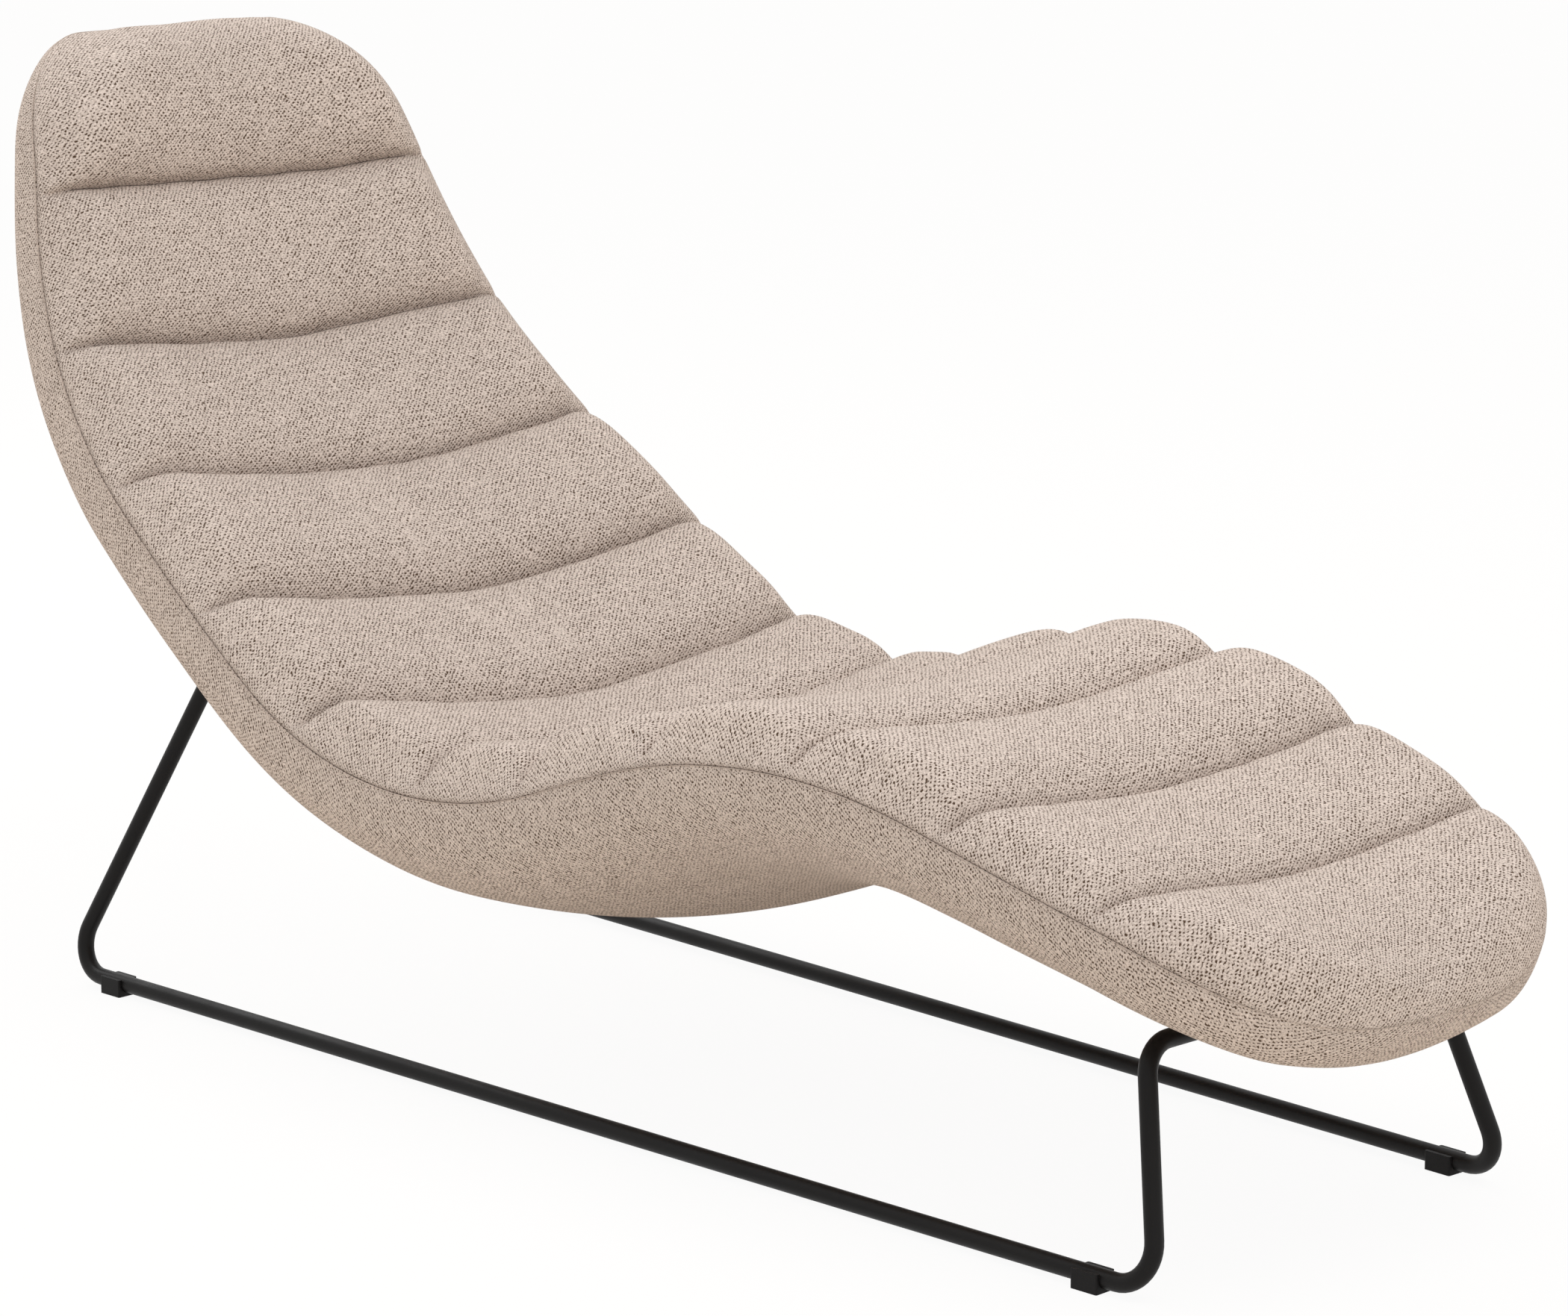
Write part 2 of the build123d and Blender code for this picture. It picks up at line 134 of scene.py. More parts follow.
class LoungerProfile(bpy.types.PropertyGroup):
    """Edge seam seen from the side, from the foot end to the head end."""

    foot_end_height: length("Foot end height", "Height of the edge seam at the foot end", 0.260)
    foot_slope: slope("Foot slope", "Rise of the seam from the foot end", 15.8)
    foot_line: length("Foot line", "Straight run at the foot end", 0.355)
    knee_radius: length("Knee radius", "Bend over the knee", 0.561)
    thigh_slope: slope("Thigh slope", "Fall of the seam behind the knee", -20.4)
    thigh_line: length("Thigh line", "Straight run behind the knee", 0.069)
    seat_radius: length("Seat radius", "Bend of the seat hollow", 0.425)
    back_slope: slope("Back slope", "Rise of the seam up the back", 33.1)
    back_line: length("Back line", "Straight run up the back", 0.236)
    head_radius: length("Head radius", "Bend behind the shoulders", 0.495)
    head_slope: slope("Head slope", "Rise of the seam at the head end", 77.0)
    head_line: length("Head line", "Straight run at the head end", 0.111)


class LoungerPlan(bpy.types.PropertyGroup):
    """Edge seam seen from above the body, and the depth of the tub below it."""

    hip_half_width: length("Hip half width", "Half the width at the hips", 0.322)
    hip_station: length("Hip station", "Distance of the hips from the foot end, along the seam", 1.087)
    hip_curve_radius: length("Hip curve radius", "How fast the sides draw in from the hips", 2.650)
    foot_taper: share("Foot taper", "Draw of each side towards the foot, per length", 0.088)
    foot_corner_width: length("Foot corner width", "Width of the rounded foot corners", 0.230)
    foot_corner_length: length("Foot corner length", "Length of the rounded foot corners", 0.219)
    foot_corner_power: share("Foot corner power", "Fullness of the foot corners: 2 is an ellipse", 2.65)
    foot_reach: length("Foot reach", "How far the filled foot end swells past the sewn profile", 0.007)
    head_reach: length("Head reach", "How far the filled head end swells past the sewn profile", 0.007)
    head_corner_width: length("Head corner width", "Width of the rounded head corners", 0.084)
    head_corner_length: length("Head corner length", "Length of the rounded head corners", 0.101)
    foot_depth: length("Foot depth", "Depth of the tub under the foot", 0.1035)
    knee_depth: length("Knee depth", "Depth of the tub under the knee", 0.139)
    seat_depth: length("Seat depth", "Depth of the tub under the seat", 0.144)
    back_depth: length("Back depth", "Depth of the tub behind the back", 0.129)
    neck_depth: length("Neck depth", "Depth of the tub behind the neck", 0.122)
    head_depth: length("Head depth", "Depth of the tub at the head end", 0.088)
    side_round: share("Side rounding", "Radius of the tub's sides, as a share of its depth", 0.735)
    side_bulge: length("Side bulge", "How far the tub's sides swell past the edge seam at the back", 0.011)
    bulge_run: length("Bulge run", "Width of that swelling, down from the edge seam", 0.115)
    side_ease: length("Side ease", "Slack of the cloth over the tub's sides", 0.0012)
    foot_nose: length("Foot nose", "Length over which the tub rounds off at the foot", 0.050)
    head_nose: length("Head nose", "Length over which the tub rounds off at the head", 0.075)
    front_mount: length("Front mount", "Distance of the front mount from the foot end, along the seam", 0.140)
    rear_mount: length("Rear mount", "Distance of the rear mount from the foot end, along the seam", 1.330)
    front_flat: length("Front flat", "How far the front mount presses the underside flat", 0.0095)
    rear_flat: length("Rear flat", "How far the rear mount presses the underside flat", 0.006)
    mount_run: length("Mount run", "Half the length of each flat, along the body", 0.046)


class LoungerQuilt(bpy.types.PropertyGroup):
    """Sewn form of the quilted top."""

    channel_widths: lengths(
        "Channel widths",
        "Distances between the channel seams, from the foot; the last channel takes the rest",
        (0.170, 0.154, 0.164, 0.162, 0.153, 0.126, 0.163, 0.164, 0.173, 0.163, 0.158),
    )
    channel_crowns: lengths(
        "Channel crowns",
        "Rise of each channel between its seams, from the foot",
        (0.010, 0.017, 0.025, 0.027, 0.026, 0.027, 0.029, 0.029, 0.028, 0.027, 0.026, 0.023),
    )
    seam_crest: length("Seam crest", "Height of the channel seams over the edge seam", 0.020)
    channel_fullness: share("Channel fullness", "Power of the channels' crown: higher is fuller", 3.8)
    crease_depth: length("Crease depth", "How far the thread draws each channel seam in", 0.007)
    crease_width: length("Crease width", "Half width of that drawn-in line", 0.0036)
    hollow_depth: length("Hollow depth", "Dip of the top across its middle", 0.019)
    seat_hollow: length("Seat hollow", "Further dip across the middle of the seat", 0.009)
    seam_bow: length("Seam bow", "How far the seat seams bow towards the foot in their middle", 0.018)
    edge_roll: length("Edge roll", "Width of the rolled edge", 0.040)
    leg_crown_fade: length("Leg crown fade", "Width in which leg and seat channels flatten to the edge", 0.034)
    back_crown_fade: length("Back crown fade", "Width in which back channels flatten to the edge", 0.058)
    foot_fall: length("Foot fall", "Length over which the top rolls down at the foot", 0.153)
    head_fall: length("Head fall", "Length over which the top rolls down at the head", 0.098)
    foot_drop: length("Foot drop", "How far the edge seam drops at the foot end", 0.041)
    foot_drop_run: length("Foot drop run", "Length over which the seam drops at the foot", 0.180)
    head_drop: length("Head drop", "How far the edge seam turns back at the head end", 0.054)
    head_drop_run: length("Head drop run", "Length over which the seam turns back at the head", 0.160)
    drop_roll: share("Drop roll", "Width that the edge roll gains, per drop of the seam", 1.0)
    lid_dish: length("Lid dish", "How far the inner panel under the padding is dished", 0.030)
    seam_draw: length("Seam draw", "How far the edge seam is drawn in", 0.0006)
    draw_reach: length("Draw reach", "Distance from the edge seam over which that fades", 0.004)
    edge_thread: length("Edge thread", "Thickness of the thread along the edge seam", 0.0007)
    # The channel thread is thick so that it also stands in for painted shade along the drawn-in crease
    channel_thread_and_shade: length("Channel thread", "Thickness of the thread in the channel seams", 0.0013)
    seam_waver: length("Seam waver", "How far the channel seams stray from straight lines", 0.0060)
    pucker: length("Pucker", "Height of the small gathers beside the channel seams", 0.0022)
    seat_fold: length("Seat fold", "Height of the soft lengthwise folds in the lower back", 0.0022)
    fold_width: length("Fold width", "Half width of those folds", 0.0060)
    fold_place: length("Fold place", "Distance of the middle fold from the centre line", -0.052)
    fold_lean: share("Fold lean", "Sideways run of the folds, per length towards the foot", 0.30)
    fold_steps: lengths("Fold steps", "Places of the folds beside the middle one", (-0.032, 0.0, 0.027))
    end_bend: length("End bend", "Bend of the mesh rows along the rounded ends", 0.030)
    bend_run: length("Bend run", "Length over which the rows straighten from the ends", 0.145)
    channel_rows: whole("Rows per channel", "Mesh rows in each channel", 16)
    end_rows: whole("Rows at the ends", "Extra mesh rows in the first and last channel", 4)


class LoungerFinish(bpy.types.PropertyGroup):
    """Colours and scales of the finishes."""

    yarn_light: colour("Light yarn", "Palest yarn of the cover cloth", (0.87, 0.742, 0.664))
    yarn_dark: colour("Dark yarn", "Deeper yarn of the cover cloth", (0.47, 0.385, 0.328))
    # Gap shade: the cloth's brown, darkened as painted shade in the hollows between the yarns
    gap_shade: colour("Yarn gap", "Brown ground that shows between the yarns", (0.078, 0.046, 0.028))
    edge_thread: colour("Edge thread", "Sewing thread along the edge seam", (0.42, 0.34, 0.285))
    # Near-black: the sewing thread, darkened as painted shade of the drawn-in crease it lies in
    channel_thread_and_shade: colour("Channel thread", "Sewing thread in the channel seams", (0.070, 0.050, 0.038))
    weave_pitch: length("Weave pitch", "Spacing of the yarns", 0.0024)
    tube_black: colour("Tube black", "Powder coat of the base", (0.0062, 0.0055, 0.0053))
    glide_black: colour("Glide black", "Moulded plastic of the glides", (0.006, 0.0055, 0.0055))
    zinc: colour("Zinc", "Plated bolts, washers, nuts and screws", (0.58, 0.59, 0.60))
    plywood: colour("Plywood", "Raw plywood of the inner frame", (0.60, 0.44, 0.27))
    webbing: colour("Webbing", "Elastic webbing", (0.09, 0.08, 0.07))


class LoungerStage(bpy.types.PropertyGroup):
    """Camera and light of the studio stage."""

    lens: FloatProperty(name="Lens", description="Focal length", default=120.6, unit="CAMERA")
    azimuth: slope("Azimuth", "Camera's turn round the lounger", -44.054)
    elevation: slope("Elevation", "Camera's height angle", 12.166)
    distance: length("Distance", "Camera's distance from its target", 4.671)
    target: lengths("Target", "Point that the camera looks at", (-0.0017, -0.0646, 0.392))
    fill: share("Fill", "Strength of the even light from all round", 0.87)
    key: watts("Key", "Power of the soft light above the foot", 38.0)
    key_place: lengths("Key place", "Where the key light hangs", (0.0, -1.6, 3.2))
    key_aim: lengths("Key aim", "Where the key light points", (0.0, -0.5, 0.30))
    key_size: length("Key size", "Width of the key light", 2.0)
    rim: watts("Rim", "Power of the soft light behind the head", 54.0)
    rim_place: lengths("Rim place", "Where the rim light hangs", (0.0, 3.0, 3.0))
    rim_aim: lengths("Rim aim", "Where the rim light points", (0.0, 0.0, 0.40))
    rim_size: length("Rim size", "Width of the rim light", 2.4)


def segments():
    """Side profile as a chain of runs: length and curvature of each."""
    p = bpy.context.scene.lounger_profile
    return (
        (p.foot_line, 0.0),
        (p.knee_radius * (p.foot_slope - p.thigh_slope), -1 / p.knee_radius),
        (p.thigh_line, 0.0),
        (p.seat_radius * (p.back_slope - p.thigh_slope), 1 / p.seat_radius),
        (p.back_line, 0.0),
        (p.head_radius * (p.head_slope - p.back_slope), 1 / p.head_radius),
        (p.head_line, 0.0),
    )


def segment_ends():
    """Stations at which the runs of the profile meet."""
    ends = [0.0]
    for run, _ in segments():
        ends.append(ends[-1] + run)
    return ends


def body_length():
    """Length of the edge seam along the side profile."""
    return segment_ends()[-1]


def along(y, z, angle, step, curvature):
    """Point and slope at a step along a straight or evenly curved run."""
    if not curvature:
        return y + step * cos(angle), z + step * sin(angle), angle + 0 * step
    turned = angle + curvature * step
    forward = (np.sin(turned) - sin(angle)) / curvature
    upward = (cos(angle) - np.cos(turned)) / curvature
    return y + forward, z + upward, turned


def profile(station):
    """Y, Z and slope angle of the side profile at distances along it from the foot end."""
    p = bpy.context.scene.lounger_profile
    corner = (foot_end_y, p.foot_end_height, p.foot_slope)
    found = along(*corner, station, 0.0)
    for stop, (run, curvature) in zip(segment_ends(), segments()):
        here = station >= stop
        run_point = along(*corner, station - stop, curvature)
        found = tuple(np.where(here, new, old) for new, old in zip(run_point, found))
        corner = tuple(float(value) for value in along(*corner, run, curvature))
    return found


def rounding(distance, run, power=2.0):
    """Quarter ellipse from 0 at an edge to 1 at a run away from it; a higher power makes it fuller."""
    part = np.clip(distance / run, 0.0, 1.0)
    return (1 - (1 - part) ** power) ** (1 / power)


def smooth_step(value, low, high):
    """0 below low, 1 above high, eased between them."""
    t = np.clip((value - low) / (high - low), 0.0, 1.0)
    return t * t * (3 - 2 * t)


def window(station, start, full, fading, gone):
    """1 along a stretch of the body, eased to 0 before and behind it."""
    return smooth_step(station, start, full) * (1 - smooth_step(station, fading, gone))


def half_width(station):
    """Half the width between the edge seams."""
    plan = bpy.context.scene.lounger_plan
    run = station - plan.hip_station
    straight_from = -plan.foot_taper * plan.hip_curve_radius
    curved = plan.hip_half_width - run**2 / (2 * plan.hip_curve_radius)
    straight = plan.hip_half_width + plan.foot_taper * (run - straight_from / 2)
    width = np.where(run > straight_from, curved, straight)
    foot = rounding(station, plan.foot_corner_length, plan.foot_corner_power)
    head = rounding(body_length() - station, plan.head_corner_length)
    return width - plan.foot_corner_width * (1 - foot) - plan.head_corner_width * (1 - head)


def smooth_through(station, knots):
    """Smooth curve through pairs of station and value, level beyond the first and the last."""
    found = np.full_like(station, knots[0][1])
    for index in range(len(knots) - 1):
        (s1, v1), (s2, v2) = knots[index], knots[index + 1]
        s0, v0 = knots[max(index - 1, 0)]
        s3, v3 = knots[min(index + 2, len(knots) - 1)]
        t = np.clip((station - s1) / (s2 - s1), 0.0, 1.0)
        slope1 = (v2 - v0) / (s2 - s0) * (s2 - s1)
        slope2 = (v3 - v1) / (s3 - s1) * (s2 - s1)
        value = (2 * t**3 - 3 * t**2 + 1) * v1 + (3 * t**2 - 2 * t**3) * v2
        value = value + (t**3 - 2 * t**2 + t) * slope1 + (t**3 - t**2) * slope2
        found = np.where(station >= s1, value, found)
    return found


def end_drop(station):
    """How far the edge seam lies below the side profile, where it turns down at the two ends."""
    quilt = bpy.context.scene.lounger_quilt
    foot = np.clip(1 - station / quilt.foot_drop_run, 0.0, None)
    head = np.clip(1 - (body_length() - station) / quilt.head_drop_run, 0.0, None)
    return quilt.foot_drop * foot**2 + quilt.head_drop * head**2


def end_fall(station):
    """How far the top has risen from the two ends: 0 at an end, 1 beyond the roll."""
    quilt = bpy.context.scene.lounger_quilt
    return rounding(station, quilt.foot_fall) * rounding(body_length() - station, quilt.head_fall)


def depth(station):
    """Depth of the tub below the edge seam, where that lies."""
    plan = bpy.context.scene.lounger_plan
    stops = segment_ends()
    middles = [(low + high) / 2 for low, high in zip(stops, stops[1:])]
    knots = (
        (middles[0], plan.foot_depth),
        (middles[1], plan.knee_depth),
        (middles[3], plan.seat_depth),
        (middles[4], plan.back_depth),
        (middles[5], plan.neck_depth),
        (body_length(), plan.head_depth),
    )
    full = smooth_through(station, knots) - end_drop(station)
    return full * rounding(station, plan.foot_nose) * rounding(body_length() - station, plan.head_nose)


def channel_stops():
    """Stations of the foot end, of every channel seam and of the head end."""
    stops = [0.0]
    for width in bpy.context.scene.lounger_quilt.channel_widths:
        stops.append(stops[-1] + width)
    return stops + [body_length()]


def row_stations():
    """Stations of the mesh rows, close together beside each channel seam and at the two ends."""
    quilt = bpy.context.scene.lounger_quilt
    stops = channel_stops()
    rows = [0.0]
    for start, end in zip(stops, stops[1:]):
        at_end = start == stops[0] or end == stops[-1]
        count = quilt.channel_rows + quilt.end_rows if at_end else quilt.channel_rows
        even = np.linspace(0.0, 1.0, count + 1)[1:]
        first, second = (2 * even) ** ROW_CROWDING, 2 - (2 - 2 * even) ** ROW_CROWDING
        crowded = np.where(even < 0.5, first, second) / 2
        rows.extend(start + (end - start) * crowded)
    return np.array(rows)


def column_shares(count, crowding):
    """Places of the mesh columns from -1 to 1, crowded towards the edges."""
    even = np.linspace(-1.0, 1.0, count + 1)
    return (1 - crowding) * even + crowding * np.sin(even * pi / 2)


def end_curve(columns, at_head):
    """How far back the outline lies from an end, over the columns of the last row."""
    steps = bpy.context.scene.lounger_quilt.end_bend * np.linspace(0.0, 1.0, OUTLINE_STEPS) ** 3
    widths = half_width(body_length() - steps if at_head else steps)
    return np.interp(np.abs(columns) * widths[-1], widths, steps)[None, :]


def bent_rows(columns):
    """Stations over a whole panel: level rows, bent to follow the outline at the two ends."""
    quilt = bpy.context.scene.lounger_quilt
    rows = row_stations()[:, None]
    near_foot = np.clip(1 - rows / quilt.bend_run, 0.0, None)
    near_head = np.clip(1 - (body_length() - rows) / quilt.bend_run, 0.0, None)
    return rows + end_curve(columns, False) * near_foot - end_curve(columns, True) * near_head


def ripples(x, station, wide, long, seed):
    """Smooth noise between about -1 and 1 over a panel, with waves of a given width and length."""
    flat = [noise.noise(Vector((a / wide, b / long, seed))) for a, b in zip(x.ravel(), station.ravel())]
    return np.array(flat).reshape(x.shape)


def seam_distance(x, height):
    """Length of cloth from each point of a panel to the nearer edge seam, along its row."""
    steps = np.hypot(np.diff(x, axis=1), np.diff(height, axis=1))
    run = np.concatenate([np.zeros((len(x), 1)), np.cumsum(steps, axis=1)], axis=1)
    return np.minimum(run, run[:, -1:] - run)


def drawn_in(x, height):
    """Widths of a panel with the cloth drawn in beside the edge seam."""
    quilt = bpy.context.scene.lounger_quilt
    near = np.exp(-((seam_distance(x, height) / quilt.draw_reach) ** 2))
    return x - np.sign(x) * quilt.seam_draw * near


def pulled_cloth(x, sewn):
    """1 along the soft lengthwise folds in the middle of the lower back, 0 away from them."""
    quilt = bpy.context.scene.lounger_quilt
    seam_gap = np.abs(sewn[:, :, None] - np.array(channel_stops()[1:-1])).min(axis=2)
    run = window(sewn, *BACK_FOLDS) * smooth_step(seam_gap, *FOLD_ENDS)
    lean = x - quilt.fold_place - quilt.fold_lean * (FOLD_ROOT - sewn)
    return run * sum(np.exp(-(((lean - step) / quilt.fold_width) ** 2)) for step in quilt.fold_steps)


def quilt_panel(columns):
    """Stations, widths and heights of the quilted top's outer panel."""
    quilt = bpy.context.scene.lounger_quilt
    station = bent_rows(columns)
    side, drop = half_width(station), end_drop(station)
    x = columns[None, :] * half_width(station[:, :1])
    from_edge = np.clip(side - np.abs(x), 0.0, None)
    stops = np.array(channel_stops())
    sewn = np.broadcast_to(row_stations()[:, None], station.shape)
    index = np.clip(np.searchsorted(stops, sewn + HAIR, side="right") - 1, 0, len(stops) - 2)
    within = (sewn - stops[index]) / (stops[index + 1] - stops[index])
    within = np.where(index == 0, np.maximum(within, 0.5), within)
    within = np.where(index == len(stops) - 2, np.minimum(within, 0.5), within)
    puff = np.array(quilt.channel_crowns)[index] * (1 - np.abs(2 * within - 1) ** quilt.channel_fullness)
    seam_gap = np.abs(sewn[:, :, None] - stops[1:-1]).min(axis=2)
    inside = smooth_step(from_edge, *CLEAR_OF_EDGE)
    crease = quilt.crease_depth * np.exp(-((seam_gap / quilt.crease_width) ** 2))
    crease = crease * smooth_step(from_edge, 0.0, CREASE_RUN)
    beside = np.exp(-seam_gap / GATHER_REACH) * (1 - np.exp(-((seam_gap / GATHER_START) ** 2)))
    pucker = quilt.pucker * beside * inside * ripples(x, sewn, wide=0.026, long=0.12, seed=3.0)
    fold = quilt.seat_fold * pulled_cloth(x, sewn)
    roll = quilt.edge_roll + quilt.drop_roll * drop
    across = np.clip(np.abs(x) / np.maximum(side - roll, 1e-6), 0.0, 1.0)
    in_seat = window(sewn, *SEAT_DIP)
    hollow = (quilt.hollow_depth + quilt.seat_hollow * in_seat) * (1 - across**2) ** 1.5
    height = rounding(from_edge, roll) * (quilt.seam_crest + drop) - hollow - crease + pucker + fold
    up_back = smooth_step(sewn, *BACK_STARTS)
    fade = quilt.leg_crown_fade + (quilt.back_crown_fade - quilt.leg_crown_fade) * up_back
    height = (height + puff * smooth_step(from_edge, 0.0, fade)) * end_fall(station) - drop
    waver = ripples(x, sewn, wide=0.16, long=0.25, seed=5.0)
    waver = waver + 0.35 * ripples(x, sewn, wide=0.045, long=0.15, seed=6.0)
    bow = window(sewn, *SEAT_BOW) * (1 - across**2)
    stray = quilt.seam_waver * inside * waver - quilt.seam_bow * bow
    return station + stray, drawn_in(x, height), height


def tub_panel(columns):
    """Stations, widths and heights of the tub's outer panel, from one edge seam to the other."""
    plan = bpy.context.scene.lounger_plan
    station = bent_rows(columns)
    side, drop = half_width(station), np.maximum(depth(station), LEAST_DEPTH)
    x = columns[None, :] * half_width(station[:, :1])
    out = np.minimum(np.abs(x), side)
    side_radius = plan.side_round * drop
    reach = side - side_radius
    belly_radius = (reach**2 + drop**2 - side_radius**2) / (2 * (drop - side_radius))
    rise = belly_radius - drop
    on_belly = out <= belly_radius * reach / np.hypot(reach, rise)
    belly = rise - np.sqrt(np.clip(belly_radius**2 - out**2, 0.0, None))
    flank = -np.sqrt(np.clip(side_radius**2 - (out - reach) ** 2, 0.0, None))
    height = np.where(on_belly, belly, flank)
    from_seam = np.clip(seam_distance(x, height) / plan.bulge_run, 0.0, 1.0)
    at_back = smooth_step(station, plan.hip_station - HIP_EASE, plan.hip_station + HIP_EASE)
    at_head = smooth_step(station, body_length() - HEAD_FROM, body_length() - HEAD_TO)
    at_back = at_back * (1 - HEAD_LOSS * at_head)
    full = np.minimum(1.0, drop / plan.foot_depth)
    swell = plan.side_bulge * (LEG_SWELL + (1 - LEG_SWELL) * at_back) * full * np.sin(pi * from_seam) ** 2
    ease = plan.side_ease * smooth_step(from_seam, SLACK_FROM, SLACK_TO) * full
    height = height - end_drop(station) - ease * ripples(x, station, wide=0.11, long=0.09, seed=7.0)
    for mount, press in ((plan.front_mount, plan.front_flat), (plan.rear_mount, plan.rear_flat)):
        middle = np.array([mount])
        flat = press - depth(middle) - end_drop(middle)
        pressed = 1 - smooth_step(np.abs(station - mount), plan.mount_run, plan.mount_run + MOUNT_EASE)
        height = height + pressed * (np.maximum(height, flat) - height)
    return station, drawn_in(x + np.sign(x) * swell, height), height


def lid_panel(columns):
    """Stations, widths and heights of a dished inner panel inside the edge seam."""
    quilt = bpy.context.scene.lounger_quilt
    station = bent_rows(columns)
    x = columns[None, :] * half_width(station[:, :1])
    from_edge = np.clip(half_width(station) - np.abs(x), 0.0, None)
    level = -end_drop(station) - quilt.lid_dish * smooth_step(from_edge, 0.0, LID_RUN) * end_fall(station)
    return station, drawn_in(x, level), level


def place(station, x, height):
    """Points of a panel, set square to the side profile."""
    plan = bpy.context.scene.lounger_plan
    foot = np.clip(1 - station / plan.foot_corner_length, 0.0, None) ** 2
    head = np.clip(1 - (body_length() - station) / plan.head_corner_length, 0.0, None) ** 2
    swell = plan.head_reach * head - plan.foot_reach * foot
    y, z, angle = profile(station)
    y = y + swell * np.cos(angle) - height * np.sin(angle)
    z = z + swell * np.sin(angle) + height * np.cos(angle)
    return np.stack([x, y, z], axis=2)


def deselect_all():
    """Leaves no object selected, in object mode."""
    if bpy.context.object is not None and bpy.context.object.mode != "OBJECT":
        bpy.ops.object.mode_set(mode="OBJECT")
    bpy.ops.object.select_all(action="DESELECT")


def sewn_panels(name, upper, lower, count, crowding):
    """Two panels of cloth laid face to face, shaped and sewn along their edges."""
    rows = len(row_stations())
    deselect_all()
    bpy.ops.mesh.primitive_grid_add(x_subdivisions=count, y_subdivisions=rows - 1, size=2.0)
    piece = bpy.context.active_object
    piece.name = name
    piece.data.name = name
    bpy.ops.object.mode_set(mode="EDIT")
    bpy.ops.mesh.select_all(action="SELECT")
    bpy.ops.mesh.duplicate()
    bpy.ops.mesh.flip_normals()
    bpy.ops.transform.translate(value=(0.0, 0.0, -1.0))
    bpy.ops.object.mode_set(mode="OBJECT")

    mesh = piece.data
    flat = np.zeros(len(mesh.vertices) * 3)
    mesh.vertices.foreach_get("co", flat)
    flat = flat.reshape(-1, 3)
    column = np.rint((flat[:, 0] + 1) / 2 * count).astype(int)
    row = np.rint((flat[:, 1] + 1) / 2 * (rows - 1)).astype(int)
    below = flat[:, 2] < -0.5
    on_edge = (column == 0) | (column == count) | (row == 0) | (row == rows - 1)

    columns = column_shares(count, crowding)
    edge_points = place(*lid_panel(columns))
    shaped = np.zeros_like(flat)
    for panel, chosen in ((upper, ~below), (lower, below)):
        points = place(*panel(columns))
        points[[0, -1]] = edge_points[[0, -1]]
        points[:, [0, -1]] = edge_points[:, [0, -1]]
        shaped[chosen] = points[row[chosen], column[chosen]]
    mesh.vertices.foreach_set("co", shaped.ravel())
    pulled = np.zeros(len(flat))
    if upper is quilt_panel:
        across = columns[None, :] * half_width(bent_rows(columns)[:, :1])
        folds = pulled_cloth(across, np.broadcast_to(row_stations()[:, None], across.shape))
        pulled[~below] = folds[row[~below], column[~below]]
    mesh.attributes.new("pull", "FLOAT", "POINT").data.foreach_set("value", pulled)

    stations = row_stations()
    seam_rows = [int(np.argmin(np.abs(stations - stop))) for stop in channel_stops()[1:-1]]
    on_seam = np.isin(row, seam_rows) & ~below
    groups = {
        "lid": below if upper is quilt_panel else ~below,
        "channel seams": on_seam,
        "channel threads": on_seam & (np.abs(columns[column]) < THREAD_SPAN),
        "edge seam": on_edge,
    }
    for group_name, chosen in groups.items():
        group = piece.vertex_groups.new(name=group_name)
        group.add(np.nonzero(chosen)[0].tolist(), 1.0, "REPLACE")
    mesh.update()
    bpy.ops.object.mode_set(mode="EDIT")
    bpy.ops.mesh.select_all(action="SELECT")
    bpy.ops.mesh.remove_doubles(threshold=SEWN_WITHIN)
    bpy.ops.mesh.select_all(action="DESELECT")
    choose_group(piece, "edge seam")
    bpy.ops.mesh.mark_seam(clear=False)
    bpy.ops.mesh.select_all(action="SELECT")
    bpy.ops.uv.unwrap(method="ANGLE_BASED", margin=0.0)
    bpy.ops.object.mode_set(mode="OBJECT")
    lay_weave(piece)
    return piece


def choose_group(piece, name):
    """Selects the points of a vertex group, in edit mode."""
    piece.vertex_groups.active_index = piece.vertex_groups[name].index
    bpy.ops.object.vertex_group_select()


def lay_weave(piece):
    """Turns and scales the unwrapped cloth to metres, with its columns along the body."""
    mesh = piece.data
    lid = piece.vertex_groups["lid"].index
    inner = np.array([any(g.group == lid for g in v.groups) for v in mesh.vertices])
    spot = np.zeros(len(mesh.vertices) * 3)
    mesh.vertices.foreach_get("co", spot)
    spot = spot.reshape(-1, 3)
    corner = np.zeros(len(mesh.loops), dtype=int)
    mesh.loops.foreach_get("vertex_index", corner)
    layer = mesh.uv_layers.active.data
    cloth = np.zeros(len(mesh.loops) * 2)
    layer.foreach_get("uv", cloth)
    cloth = cloth.reshape(-1, 2)
    following = np.zeros(len(mesh.loops), dtype=int)
    for face in mesh.polygons:
        loops = list(face.loop_indices)
        following[loops] = loops[1:] + loops[:1]
    outer = ~inner[corner] & ~inner[corner[following]]
    step = (cloth[following] - cloth)[outer]
    real = (spot[corner[following]] - spot[corner])[outer]
    scale = np.linalg.norm(real, axis=1).sum() / np.linalg.norm(step, axis=1).sum()
    ways = step[:, 0] + 1j * step[:, 1]
    turn = np.angle((ways.conj() * real[:, 0]).sum())
    turned = (cloth[:, 0] + 1j * cloth[:, 1]) * np.exp(1j * turn) * scale
    layer.foreach_set("uv", np.stack([turned.real, turned.imag], axis=1).ravel())


